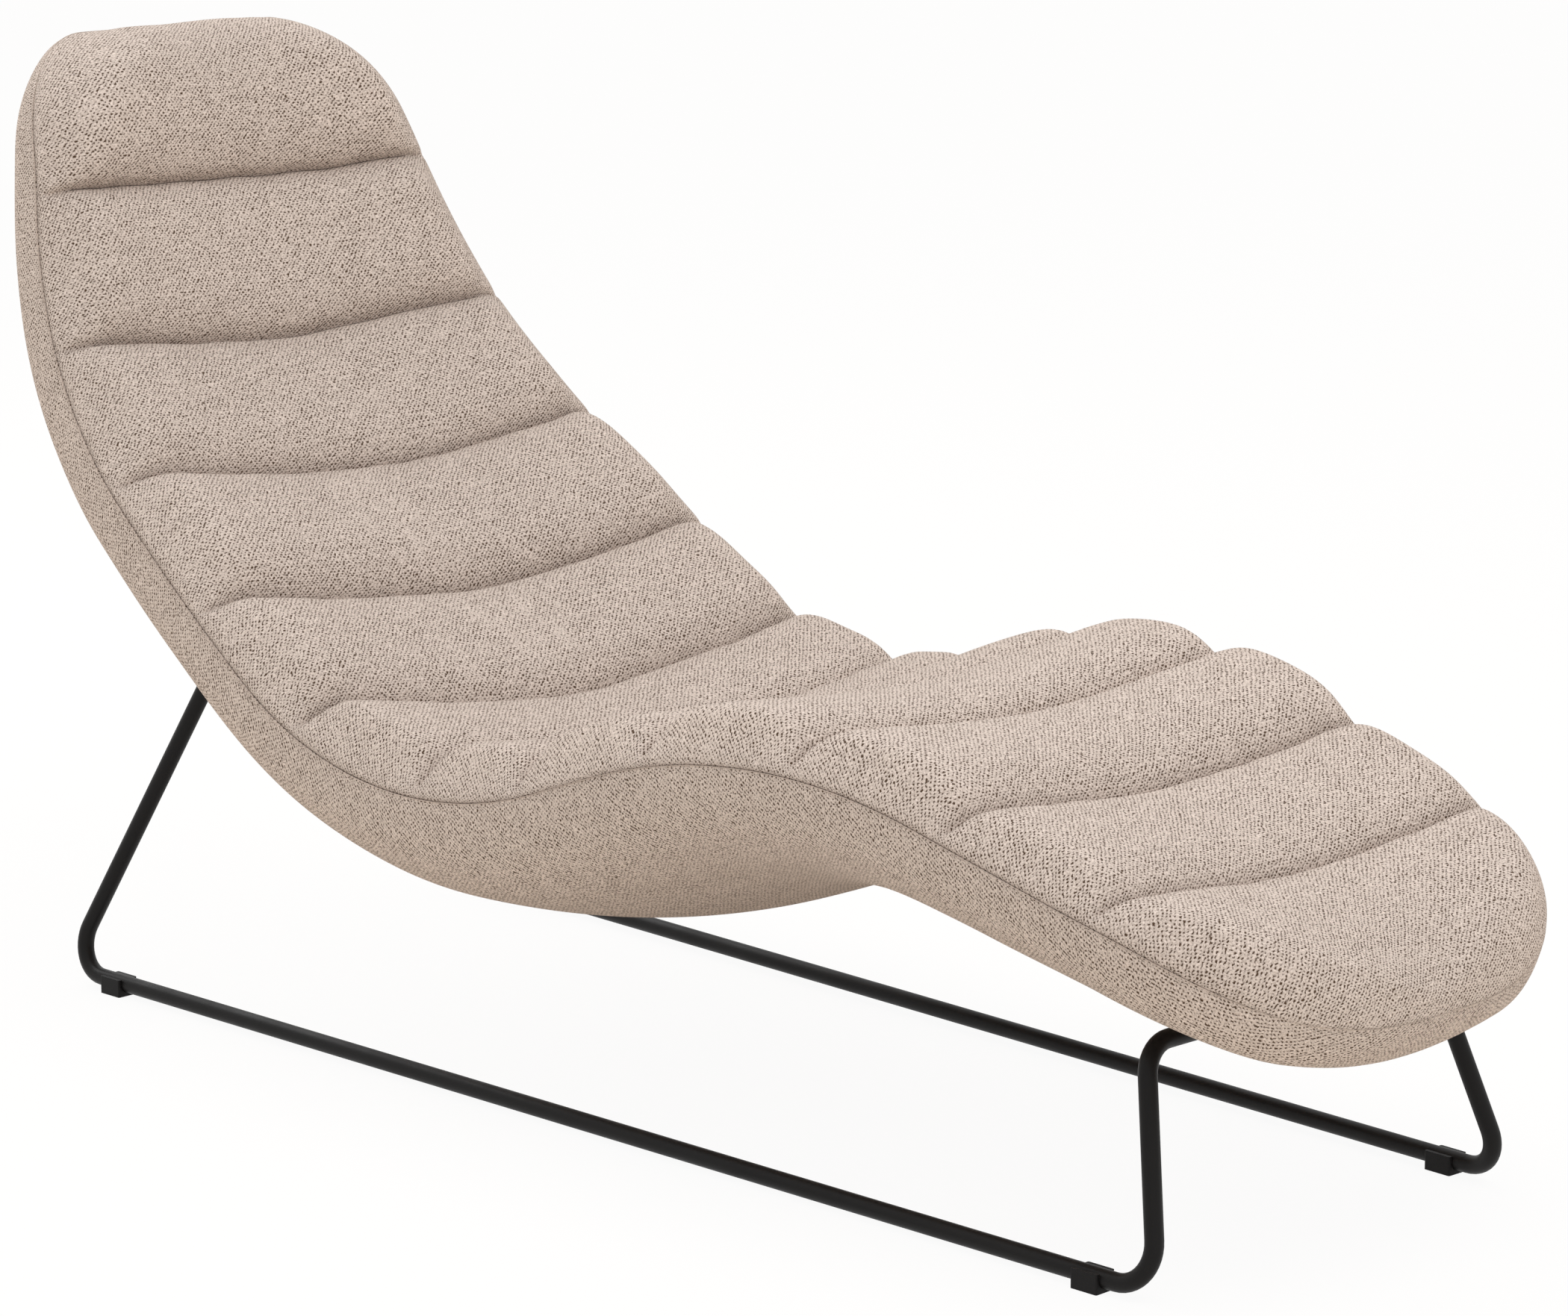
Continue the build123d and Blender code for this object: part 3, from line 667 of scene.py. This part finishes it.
def sew_thread(piece, seam, name, thickness, tint):
    """Runs a thread along the points of a seam, as a piece of its own."""
    make_active(piece)
    bpy.ops.object.duplicate()
    thread = bpy.context.active_object
    thread.name = name
    bpy.ops.object.mode_set(mode="EDIT")
    bpy.ops.mesh.select_all(action="DESELECT")
    choose_group(thread, seam)
    bpy.ops.mesh.select_all(action="INVERT")
    bpy.ops.mesh.delete(type="VERT")
    bpy.ops.object.mode_set(mode="OBJECT")
    bpy.ops.object.convert(target="CURVE")
    thread = bpy.context.active_object
    thread.data.bevel_depth = thickness / 2
    thread.data.bevel_resolution = 1
    thread.data.use_fill_caps = True
    bpy.ops.object.convert(target="MESH")
    thread = bpy.context.active_object
    thread.data.name = name
    bpy.ops.object.shade_smooth()
    thread.data.materials.clear()
    twist = grained(name.replace("_", " "), tint, 1.5, 1800.0, low=0.7, high=0.9, strength=0.3)
    thread.data.materials.append(twist)
    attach(thread, BODY)


def make_active(piece):
    """Selects one object alone."""
    deselect_all()
    piece.select_set(True)
    bpy.context.view_layer.objects.active = piece


def finish_cloth(piece, fill, material, slot_name, *nodes):
    """Smooths a padded piece, gives it its cloth and ties it to the frame."""
    make_active(piece)
    bpy.ops.object.mode_set(mode="EDIT")
    bpy.ops.mesh.select_all(action="DESELECT")
    choose_group(piece, "channel seams")
    bpy.ops.transform.edge_crease(value=SEAM_CREASE)
    bpy.ops.object.mode_set(mode="OBJECT")
    smooth = piece.modifiers.new("Smooth cloth", "SUBSURF")
    smooth.levels = smooth.render_levels = 1
    bpy.ops.object.modifier_apply(modifier=smooth.name)
    bpy.ops.object.shade_smooth()
    piece.data.materials.clear()
    piece.data.materials.append(material)
    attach(piece, BODY)
    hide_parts(*nodes)


# Weave: slanting lines, weft rows and the fainter lines of the other slant, in turns per yarn, with weights
WEAVE_LINES = (((0.5, -0.5), 0.90), ((0.0, 1.0), 0.48), ((0.5, 0.5), 0.38))
# How far the yarns wander, and the weights of their ragged fibres, of broad patches and of pulled cloth
WANDER, FIBRE_WEIGHT, PATCH_WEIGHT, PULL_WEIGHT = 2.3, 9.5, 1.2, 0.55
# Depths between which the yarns give way to the painted shade of the gaps, and between which they round off
GAP_SHADE_DEPTHS, YARN_DEPTHS = (0.22, 1.60), (-2.4, 2.2)
# Faint streaks along the yarns: how many per metre each way, and their share of the tone
STREAKS, STREAK_WEIGHT = (16.0, 210.0, 1.0), 0.3
# Gloss of the black base, and share of plain white in the floor that the camera sees
MATT, FLOOR_WHITE = 0.17, 0.93


def new_group(name, inputs, outputs):
    """Empty shader node group with named sockets."""
    group = bpy.data.node_groups.new(name, "ShaderNodeTree")
    for socket, kind, default in inputs:
        made = group.interface.new_socket(name=socket, in_out="INPUT", socket_type=kind)
        if default is not None:
            made.default_value = default
    for socket, kind in outputs:
        group.interface.new_socket(name=socket, in_out="OUTPUT", socket_type=kind)
    return group, group.nodes.new("NodeGroupInput"), group.nodes.new("NodeGroupOutput")


class Nodes:
    """Short forms for adding and linking the nodes of one tree."""

    def __init__(self, tree):
        self.tree = tree

    def link(self, source, target):
        """A link from one socket to another."""
        self.tree.links.new(source, target)

    def put(self, value, socket):
        """A link where the value is a socket, a plain number or colour where it isn't."""
        if isinstance(value, bpy.types.NodeSocket):
            self.link(value, socket)
        else:
            socket.default_value = value

    def fill(self, node, values):
        """Sets or links sockets of a node."""
        for socket, value in values.items():
            self.put(value, node.inputs[socket])

    def add(self, kind, values=None):
        """New shader node, with some of its sockets set or linked."""
        node = self.tree.nodes.new("ShaderNode" + kind)
        self.fill(node, values or {})
        return node

    def math(self, operation, first, second=0.0, clamp=False):
        """Sum, product and the like of two values."""
        node = self.add("Math")
        node.operation = operation
        node.use_clamp = clamp
        self.put(first, node.inputs[0])
        self.put(second, node.inputs[1])
        return node.outputs[0]

    def vector(self, operation, first, second):
        """Sum, product and the like of two vectors."""
        node = self.add("VectorMath")
        node.operation = operation
        self.put(first, node.inputs[0])
        self.put(second, node.inputs["Scale"] if operation == "SCALE" else node.inputs[1])
        return node.outputs["Value"] if operation == "DOT_PRODUCT" else node.outputs[0]

    def ramp(self, value, low, high, to_low=0.0, to_high=1.0):
        """Eased step of a value from one range to another."""
        ends = {"From Min": low, "From Max": high, "To Min": to_low, "To Max": to_high}
        node = self.add("MapRange", {"Value": value, **ends})
        node.interpolation_type = "SMOOTHSTEP"
        return node.outputs["Result"]

    def mix(self, share_socket, first, second):
        """Mix of two colours."""
        node = self.add("Mix")
        node.data_type = "RGBA"
        self.put(share_socket, node.inputs[0])
        for value, socket in ((first, node.inputs[6]), (second, node.inputs[7])):
            self.put(value if isinstance(value, bpy.types.NodeSocket) else (*value, 1.0), socket)
        return node.outputs[2]

    def noise(self, place_socket, scale, detail=2.0, roughness=0.5):
        """Noise texture at a place."""
        values = {"Vector": place_socket, "Scale": scale, "Detail": detail, "Roughness": roughness}
        return self.add("TexNoise", values)

    def bump(self, height, strength, distance):
        """Normal that is roughened by a height."""
        node = self.add("Bump", {"Strength": strength, "Distance": distance, "Height": height})
        return node.outputs["Normal"]


def nubby_weave_group():
    """Nubby plain weave: thick pale yarns in slanting lines, with dots of dark brown painted shade in the
    hollows between them.
    """
    if "nubby weave" in bpy.data.node_groups:
        return bpy.data.node_groups["nubby weave"]
    group, enter, leave = new_group(
        "nubby weave",
        [
            ("Place", "NodeSocketVector", None),
            ("Pitch", "NodeSocketFloat", 0.0024),
            ("Pull", "NodeSocketFloat", 0.0),
            ("Light", "NodeSocketColor", None),
            ("Dark", "NodeSocketColor", None),
            ("Gap Shade", "NodeSocketColor", None),
        ],
        [("Color", "NodeSocketColor"), ("Height", "NodeSocketFloat"), ("Roughness", "NodeSocketFloat")],
    )
    n = Nodes(group)
    per_pitch = n.math("DIVIDE", 1.0, enter.outputs["Pitch"])
    yarns = n.vector("SCALE", n.vector("MULTIPLY", enter.outputs["Place"], (1.0, 1.0, 0.0)), per_pitch)
    wander = n.noise(yarns, scale=0.22, detail=3.0, roughness=0.65)
    wander_by = n.vector("SUBTRACT", wander.outputs["Color"], (0.5, 0.5, 0.5))
    yarns = n.vector("ADD", yarns, n.vector("SCALE", wander_by, WANDER))
    ground = 0.0
    for (across, lengthwise), weight in WEAVE_LINES:
        turns = n.vector("DOT_PRODUCT", yarns, (2 * pi * across, 2 * pi * lengthwise, 0.0))
        ground = n.math("ADD", ground, n.math("MULTIPLY", n.math("COSINE", turns), weight))
    fibre = n.noise(yarns, scale=0.87, detail=3.0, roughness=0.65)
    patch = n.noise(yarns, scale=0.085, detail=3.0, roughness=0.6)
    ragged = n.math("MULTIPLY", n.math("SUBTRACT", fibre.outputs["Fac"], 0.5), FIBRE_WEIGHT)
    cloud = n.math("MULTIPLY", n.math("SUBTRACT", patch.outputs["Fac"], 0.5), PATCH_WEIGHT)
    ground = n.math("ADD", n.math("ADD", ground, ragged), cloud)
    ground = n.math("SUBTRACT", ground, n.math("MULTIPLY", enter.outputs["Pull"], PULL_WEIGHT))
    # Painted shade: where the weave sinks deep, the hollows between the yarns take the dark gap colour
    gap_shade_mask = n.ramp(ground, *GAP_SHADE_DEPTHS)
    streak = n.noise(n.vector("MULTIPLY", enter.outputs["Place"], STREAKS), scale=1.0)
    strand = n.noise(yarns, scale=1.6, roughness=0.6)
    tone = n.math("MULTIPLY", n.ramp(strand.outputs["Fac"], 0.30, 0.70), 1 - STREAK_WEIGHT)
    tone = n.math("ADD", tone, n.math("MULTIPLY", streak.outputs["Fac"], STREAK_WEIGHT), clamp=True)
    yarn = n.mix(tone, enter.outputs["Dark"], enter.outputs["Light"])
    n.link(n.mix(gap_shade_mask, yarn, enter.outputs["Gap Shade"]), leave.inputs["Color"])
    n.link(n.ramp(ground, *YARN_DEPTHS, to_low=1.0, to_high=0.0), leave.inputs["Height"])
    n.link(n.ramp(fibre.outputs["Fac"], 0.2, 0.8, to_low=0.84, to_high=0.97), leave.inputs["Roughness"])
    return group


def fine_grain_group():
    """Fine speckle for coats, mouldings and plated metal."""
    if "fine grain" in bpy.data.node_groups:
        return bpy.data.node_groups["fine grain"]
    group, enter, leave = new_group(
        "fine grain",
        [
            ("Color", "NodeSocketColor", None),
            ("Worn Color", "NodeSocketColor", None),
            ("Grain Scale", "NodeSocketFloat", 1500.0),
            ("Roughness Low", "NodeSocketFloat", 0.4),
            ("Roughness High", "NodeSocketFloat", 0.6),
        ],
        [("Color", "NodeSocketColor"), ("Height", "NodeSocketFloat"), ("Roughness", "NodeSocketFloat")],
    )
    n = Nodes(group)
    spot = n.add("TexCoord").outputs["Object"]
    grain = n.noise(spot, enter.outputs["Grain Scale"], detail=3.0, roughness=0.6)
    cloud = n.noise(spot, scale=18.0, detail=3.0, roughness=0.55)
    tone = n.ramp(cloud.outputs["Fac"], 0.35, 0.75)
    speck = n.ramp(grain.outputs["Fac"], 0.45, 0.75)
    tone = n.math("MULTIPLY", n.math("ADD", tone, speck), 0.5)
    n.link(n.mix(tone, enter.outputs["Color"], enter.outputs["Worn Color"]), leave.inputs["Color"])
    n.link(grain.outputs["Fac"], leave.inputs["Height"])
    low, high = enter.outputs["Roughness Low"], enter.outputs["Roughness High"]
    n.link(n.ramp(cloud.outputs["Fac"], 0.25, 0.75, low, high), leave.inputs["Roughness"])
    return group


def new_material(name):
    """Material with a bare principled shader: its tree, its shader and the short forms."""
    material = bpy.data.materials.new(name)
    material.use_nodes = True
    tree = material.node_tree
    return material, tree.nodes["Principled BSDF"], Nodes(tree)


def from_group(n, shader, tree, values, strength, distance):
    """Takes a shader's colour, roughness and bump from a node group."""
    node = n.add("Group")
    node.node_tree = tree
    n.fill(node, values)
    made = node.outputs
    normal = n.bump(made["Height"], strength, distance)
    n.fill(shader, {"Base Color": made["Color"], "Roughness": made["Roughness"], "Normal": normal})


def cover_cloth():
    """Nubby greige weave of the cover."""
    if "cover cloth" in bpy.data.materials:
        return bpy.data.materials["cover cloth"]
    finish = bpy.context.scene.lounger_finish
    material, shader, n = new_material("cover cloth")
    pull = n.add("Attribute")
    pull.attribute_name = "pull"
    values = {"Place": n.add("UVMap").outputs["UV"], "Pull": pull.outputs["Fac"], "Pitch": finish.weave_pitch}
    # The gap colour is painted shade of the hollows between the yarns
    yarns = {"Light": finish.yarn_light, "Dark": finish.yarn_dark, "Gap Shade": finish.gap_shade}
    values.update({socket: (*tint, 1.0) for socket, tint in yarns.items()})
    from_group(n, shader, nubby_weave_group(), values, strength=0.8, distance=0.0014)
    n.fill(shader, {"Specular IOR Level": 0.10, "Sheen Weight": 0.08, "Sheen Roughness": 0.6})
    n.fill(shader, {"Sheen Tint": (0.95, 0.82, 0.70, 1.0)})
    return material


def grained(name, tint, worn, scale, low, high, strength, metallic=0.0, specular=0.5):
    """Material with a fine grain: its tint, how much lighter it wears, its roughness and its bump."""
    if name in bpy.data.materials:
        return bpy.data.materials[name]
    material, shader, n = new_material(name)
    values = {"Color": (*tint, 1.0), "Worn Color": (*lighter(tint, worn), 1.0)}
    values.update({"Grain Scale": scale, "Roughness Low": low, "Roughness High": high})
    from_group(n, shader, fine_grain_group(), values, strength, distance=0.0003)
    n.fill(shader, {"Metallic": metallic, "Specular IOR Level": specular})
    return material


def lighter(tint, factor):
    """The same tint, lightened or darkened."""
    return tuple(min(1.0, value * factor) for value in tint)


def plywood_layers():
    """Birch plywood: thin layers on edge, with grain along the body."""
    if "plywood" in bpy.data.materials:
        return bpy.data.materials["plywood"]
    finish = bpy.context.scene.lounger_finish
    material, shader, n = new_material("plywood")
    spot = n.add("TexCoord").outputs["Object"]
    grain = n.noise(n.vector("MULTIPLY", spot, (900.0, 22.0, 60.0)), scale=1.0, detail=4.0, roughness=0.6)
    layers = n.add("TexWave", {"Vector": spot, "Scale": 100.0})
    layers.bands_direction = "X"
    along_grain = n.math("MULTIPLY", grain.outputs["Fac"], 0.6)
    tone = n.math("ADD", along_grain, n.math("MULTIPLY", layers.outputs["Fac"], 0.3))
    dark, pale = lighter(finish.plywood, 0.6), lighter(finish.plywood, 1.15)
    roughness = n.ramp(grain.outputs["Fac"], 0.2, 0.8, to_low=0.55, to_high=0.75)
    normal = n.bump(grain.outputs["Fac"], strength=0.3, distance=0.0004)
    n.fill(shader, {"Base Color": n.mix(tone, dark, pale), "Roughness": roughness, "Normal": normal})
    return material


def webbing_cloth():
    """Elastic webbing: dark twill ribs."""
    if "webbing" in bpy.data.materials:
        return bpy.data.materials["webbing"]
    finish = bpy.context.scene.lounger_finish
    material, shader, n = new_material("webbing")
    ribs = n.add("TexWave", {"Vector": n.add("TexCoord").outputs["Object"], "Scale": 160.0})
    ribs.bands_direction = "DIAGONAL"
    twill = n.mix(ribs.outputs["Fac"], lighter(finish.webbing, 0.6), lighter(finish.webbing, 2.2))
    roughness = n.ramp(ribs.outputs["Fac"], 0.0, 1.0, to_low=0.75, to_high=0.92)
    normal = n.bump(ribs.outputs["Fac"], strength=0.5, distance=0.0005)
    n.fill(shader, {"Base Color": twill, "Roughness": roughness, "Normal": normal})
    return material


def coat_nodes(names, material):
    """Gives CAD nodes a finish in place of their plain one."""
    for name in names:
        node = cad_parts[name]
        node.data.materials.clear()
        node.data.materials.append(material)


def nodes_named(*beginnings):
    """CAD nodes whose names begin with any of these words."""
    return [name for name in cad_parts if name.startswith(beginnings)]


class LOUNGER_OT_quilted_top(bpy.types.Operator):
    """Sew and fill the channel-quilted top"""

    bl_idname = "lounger.quilted_top"
    bl_label = "Quilted top"

    def execute(self, context):
        piece = sewn_panels("quilted_top_cover", quilt_panel, lid_panel, COLUMNS, TOP_CROWDING)
        quilt, finish = context.scene.lounger_quilt, context.scene.lounger_finish
        for seam, name, thickness, tint in (
            ("edge seam", "edge_seam_thread", quilt.edge_thread, finish.edge_thread),
            # Channel threads: real stitching, near-black as painted shade along the drawn-in creases
            ("channel threads", "channel_seam_threads_and_shade", quilt.channel_thread_and_shade, finish.channel_thread_and_shade),
        ):
            sew_thread(piece, seam, name, thickness, tint)
        finish_cloth(piece, 0.7, cover_cloth(), "cover_fabric", "quilted_top", "seat_pad")
        return {"FINISHED"}


class LOUNGER_OT_tub(bpy.types.Operator):
    """Sew the side and underside of the body over its foam"""

    bl_idname = "lounger.tub"
    bl_label = "Tub"

    def execute(self, context):
        piece = sewn_panels("tub_side_cover", lid_panel, tub_panel, COLUMNS, TUB_CROWDING)
        finish_cloth(piece, 0.95, cover_cloth(), "cover_fabric", "tub_cover", "foam_tub")
        return {"FINISHED"}


class LOUNGER_OT_base(bpy.types.Operator):
    """Powder-coat the sled base"""

    bl_idname = "lounger.base"
    bl_label = "Sled base"

    def execute(self, context):
        black = context.scene.lounger_finish.tube_black
        coat = grained("powder coat", black, 1.5, 2200.0, low=0.40, high=0.52, strength=0.10, specular=MATT)
        coat_nodes(nodes_named("side_tube", "front_cross", "rear_cross", "mount_plate"), coat)
        return {"FINISHED"}


class LOUNGER_OT_glides(bpy.types.Operator):
    """Finish the floor glides in moulded plastic"""

    bl_idname = "lounger.glides"
    bl_label = "Glides"

    def execute(self, context):
        black = context.scene.lounger_finish.glide_black
        plastic = grained("glide plastic", black, 2.0, 900.0, low=0.5, high=0.66, strength=0.25, specular=MATT)
        coat_nodes(nodes_named("glide_"), plastic)
        return {"FINISHED"}


class LOUNGER_OT_hardware(bpy.types.Operator):
    """Plate the bolts, washers, nuts and screws"""

    bl_idname = "lounger.hardware"
    bl_label = "Hardware"

    def execute(self, context):
        zinc = context.scene.lounger_finish.zinc
        plated = grained("zinc plate", zinc, 0.8, 700.0, low=0.28, high=0.42, strength=0.12, metallic=1.0)
        coat_nodes(nodes_named("mount_bolts", "mount_washers", "t_nuts", "rail_screws"), plated)
        return {"FINISHED"}


class LOUNGER_OT_inner_frame(bpy.types.Operator):
    """Finish the plywood frame and the webbing inside the body"""

    bl_idname = "lounger.inner_frame"
    bl_label = "Inner frame"

    def execute(self, context):
        wooden = [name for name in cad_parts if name.endswith(("_rail", "_block"))]
        coat_nodes(wooden + nodes_named("side_rib"), plywood_layers())
        coat_nodes(nodes_named("webbing_strap"), webbing_cloth())
        return {"FINISHED"}


class LOUNGER_OT_stage(bpy.types.Operator):
    """Set the pale floor, the soft studio light and the camera"""

    bl_idname = "lounger.stage"
    bl_label = "Studio stage"

    def execute(self, context):
        stage = context.scene.lounger_stage
        lay_floor()
        light_world(stage.fill)
        soft_light("key light", stage.key_place, stage.key_aim, stage.key_size, stage.key)
        soft_light("rim light", stage.rim_place, stage.rim_aim, stage.rim_size, stage.rim)
        set_camera(stage)
        return {"FINISHED"}


def seen_directly(n):
    """1 for rays that show the background itself: from the camera, or by reflection or through glass."""
    rays = n.add("LightPath").outputs
    straight = n.math("MAXIMUM", rays["Is Camera Ray"], rays["Is Glossy Ray"])
    return n.math("MAXIMUM", straight, rays["Is Transmission Ray"])


def lay_floor():
    """Pale floor that reads as white and keeps a faint shadow."""
    deselect_all()
    bpy.ops.mesh.primitive_plane_add(size=60.0, location=(0.0, 0.0, 0.0))
    floor = bpy.context.active_object
    floor.name = "floor"
    material, shader, n = new_material("pale floor")
    n.fill(shader, {"Base Color": (0.90, 0.84, 0.76, 1.0), "Roughness": 0.9, "Specular IOR Level": 0.0})
    white = n.add("Emission")
    whiteness = n.math("MULTIPLY", seen_directly(n), FLOOR_WHITE)
    blend = n.add("MixShader", {0: whiteness, 1: shader.outputs[0], 2: white.outputs[0]})
    n.link(blend.outputs[0], n.tree.nodes["Material Output"].inputs["Surface"])
    floor.data.materials.append(material)


def light_world(strength):
    """Even studio light from all round, seen as white."""
    world = bpy.data.worlds.new("studio")
    bpy.context.scene.world = world
    world.use_nodes = True
    n = Nodes(world.node_tree)
    even = world.node_tree.nodes["Background"]
    n.fill(even, {"Color": (1.0, 1.0, 1.0, 1.0), "Strength": strength})
    white = n.add("Background", {"Color": (1.0, 1.0, 1.0, 1.0)})
    blend = n.add("MixShader", {0: seen_directly(n), 1: even.outputs[0], 2: white.outputs[0]})
    n.link(blend.outputs[0], world.node_tree.nodes["World Output"].inputs["Surface"])


def soft_light(name, spot, aim, size, power):
    """Large square area light that points at a spot on the lounger."""
    deselect_all()
    bpy.ops.object.light_add(type="AREA", location=spot)
    lamp = bpy.context.active_object
    lamp.name = name
    lamp.data.size = size
    lamp.data.energy = power
    lamp.rotation_euler = (Vector(aim) - Vector(spot)).to_track_quat("-Z", "Y").to_euler()


def set_camera(stage):
    """Camera at the photograph's angle."""
    deselect_all()
    turn, lift = stage.azimuth, stage.elevation
    back = Vector((sin(turn) * cos(lift), -cos(turn) * cos(lift), sin(lift)))
    bpy.ops.object.camera_add(location=Vector(stage.target) + back * stage.distance)
    camera = bpy.context.active_object
    camera.name = "camera"
    camera.rotation_euler = (-back).to_track_quat("-Z", "Y").to_euler()
    camera.data.lens = stage.lens
    camera.data.sensor_width = 36.0
    camera.data.clip_end = 200.0
    bpy.context.scene.camera = camera
    bpy.context.scene.view_settings.view_transform = "Standard"


class LOUNGER_PT_panel(bpy.types.Panel):
    """Lists the pieces of the lounger"""

    bl_idname = "LOUNGER_PT_panel"
    bl_label = "Chaise lounger"
    bl_space_type = "VIEW_3D"
    bl_region_type = "UI"
    bl_category = "Lounger"

    def draw(self, context):
        for operator in OPERATORS:
            self.layout.operator(operator.bl_idname)


OPERATORS = (
    LOUNGER_OT_quilted_top,
    LOUNGER_OT_tub,
    LOUNGER_OT_base,
    LOUNGER_OT_glides,
    LOUNGER_OT_hardware,
    LOUNGER_OT_inner_frame,
    LOUNGER_OT_stage,
)
GROUPS = {
    "lounger_profile": LoungerProfile,
    "lounger_plan": LoungerPlan,
    "lounger_quilt": LoungerQuilt,
    "lounger_finish": LoungerFinish,
    "lounger_stage": LoungerStage,
}


def register():
    """Makes the sizes, the operators and the panel known to Blender."""
    for name, group in GROUPS.items():
        bpy.utils.register_class(group)
        setattr(bpy.types.Scene, name, bpy.props.PointerProperty(type=group))
    for operator in OPERATORS:
        bpy.utils.register_class(operator)
    bpy.utils.register_class(LOUNGER_PT_panel)


def unregister():
    """Takes them away again."""
    bpy.utils.unregister_class(LOUNGER_PT_panel)
    for operator in reversed(OPERATORS):
        bpy.utils.unregister_class(operator)
    for name, group in reversed(GROUPS.items()):
        delattr(bpy.types.Scene, name)
        bpy.utils.unregister_class(group)


def main():
    """Dresses the lounger piece by piece."""
    register()
    bpy.ops.lounger.quilted_top()
    bpy.ops.lounger.tub()
    bpy.ops.lounger.base()
    bpy.ops.lounger.glides()
    bpy.ops.lounger.hardware()
    bpy.ops.lounger.inner_frame()
    bpy.ops.lounger.stage()


if __name__ == "__main__":
    main()
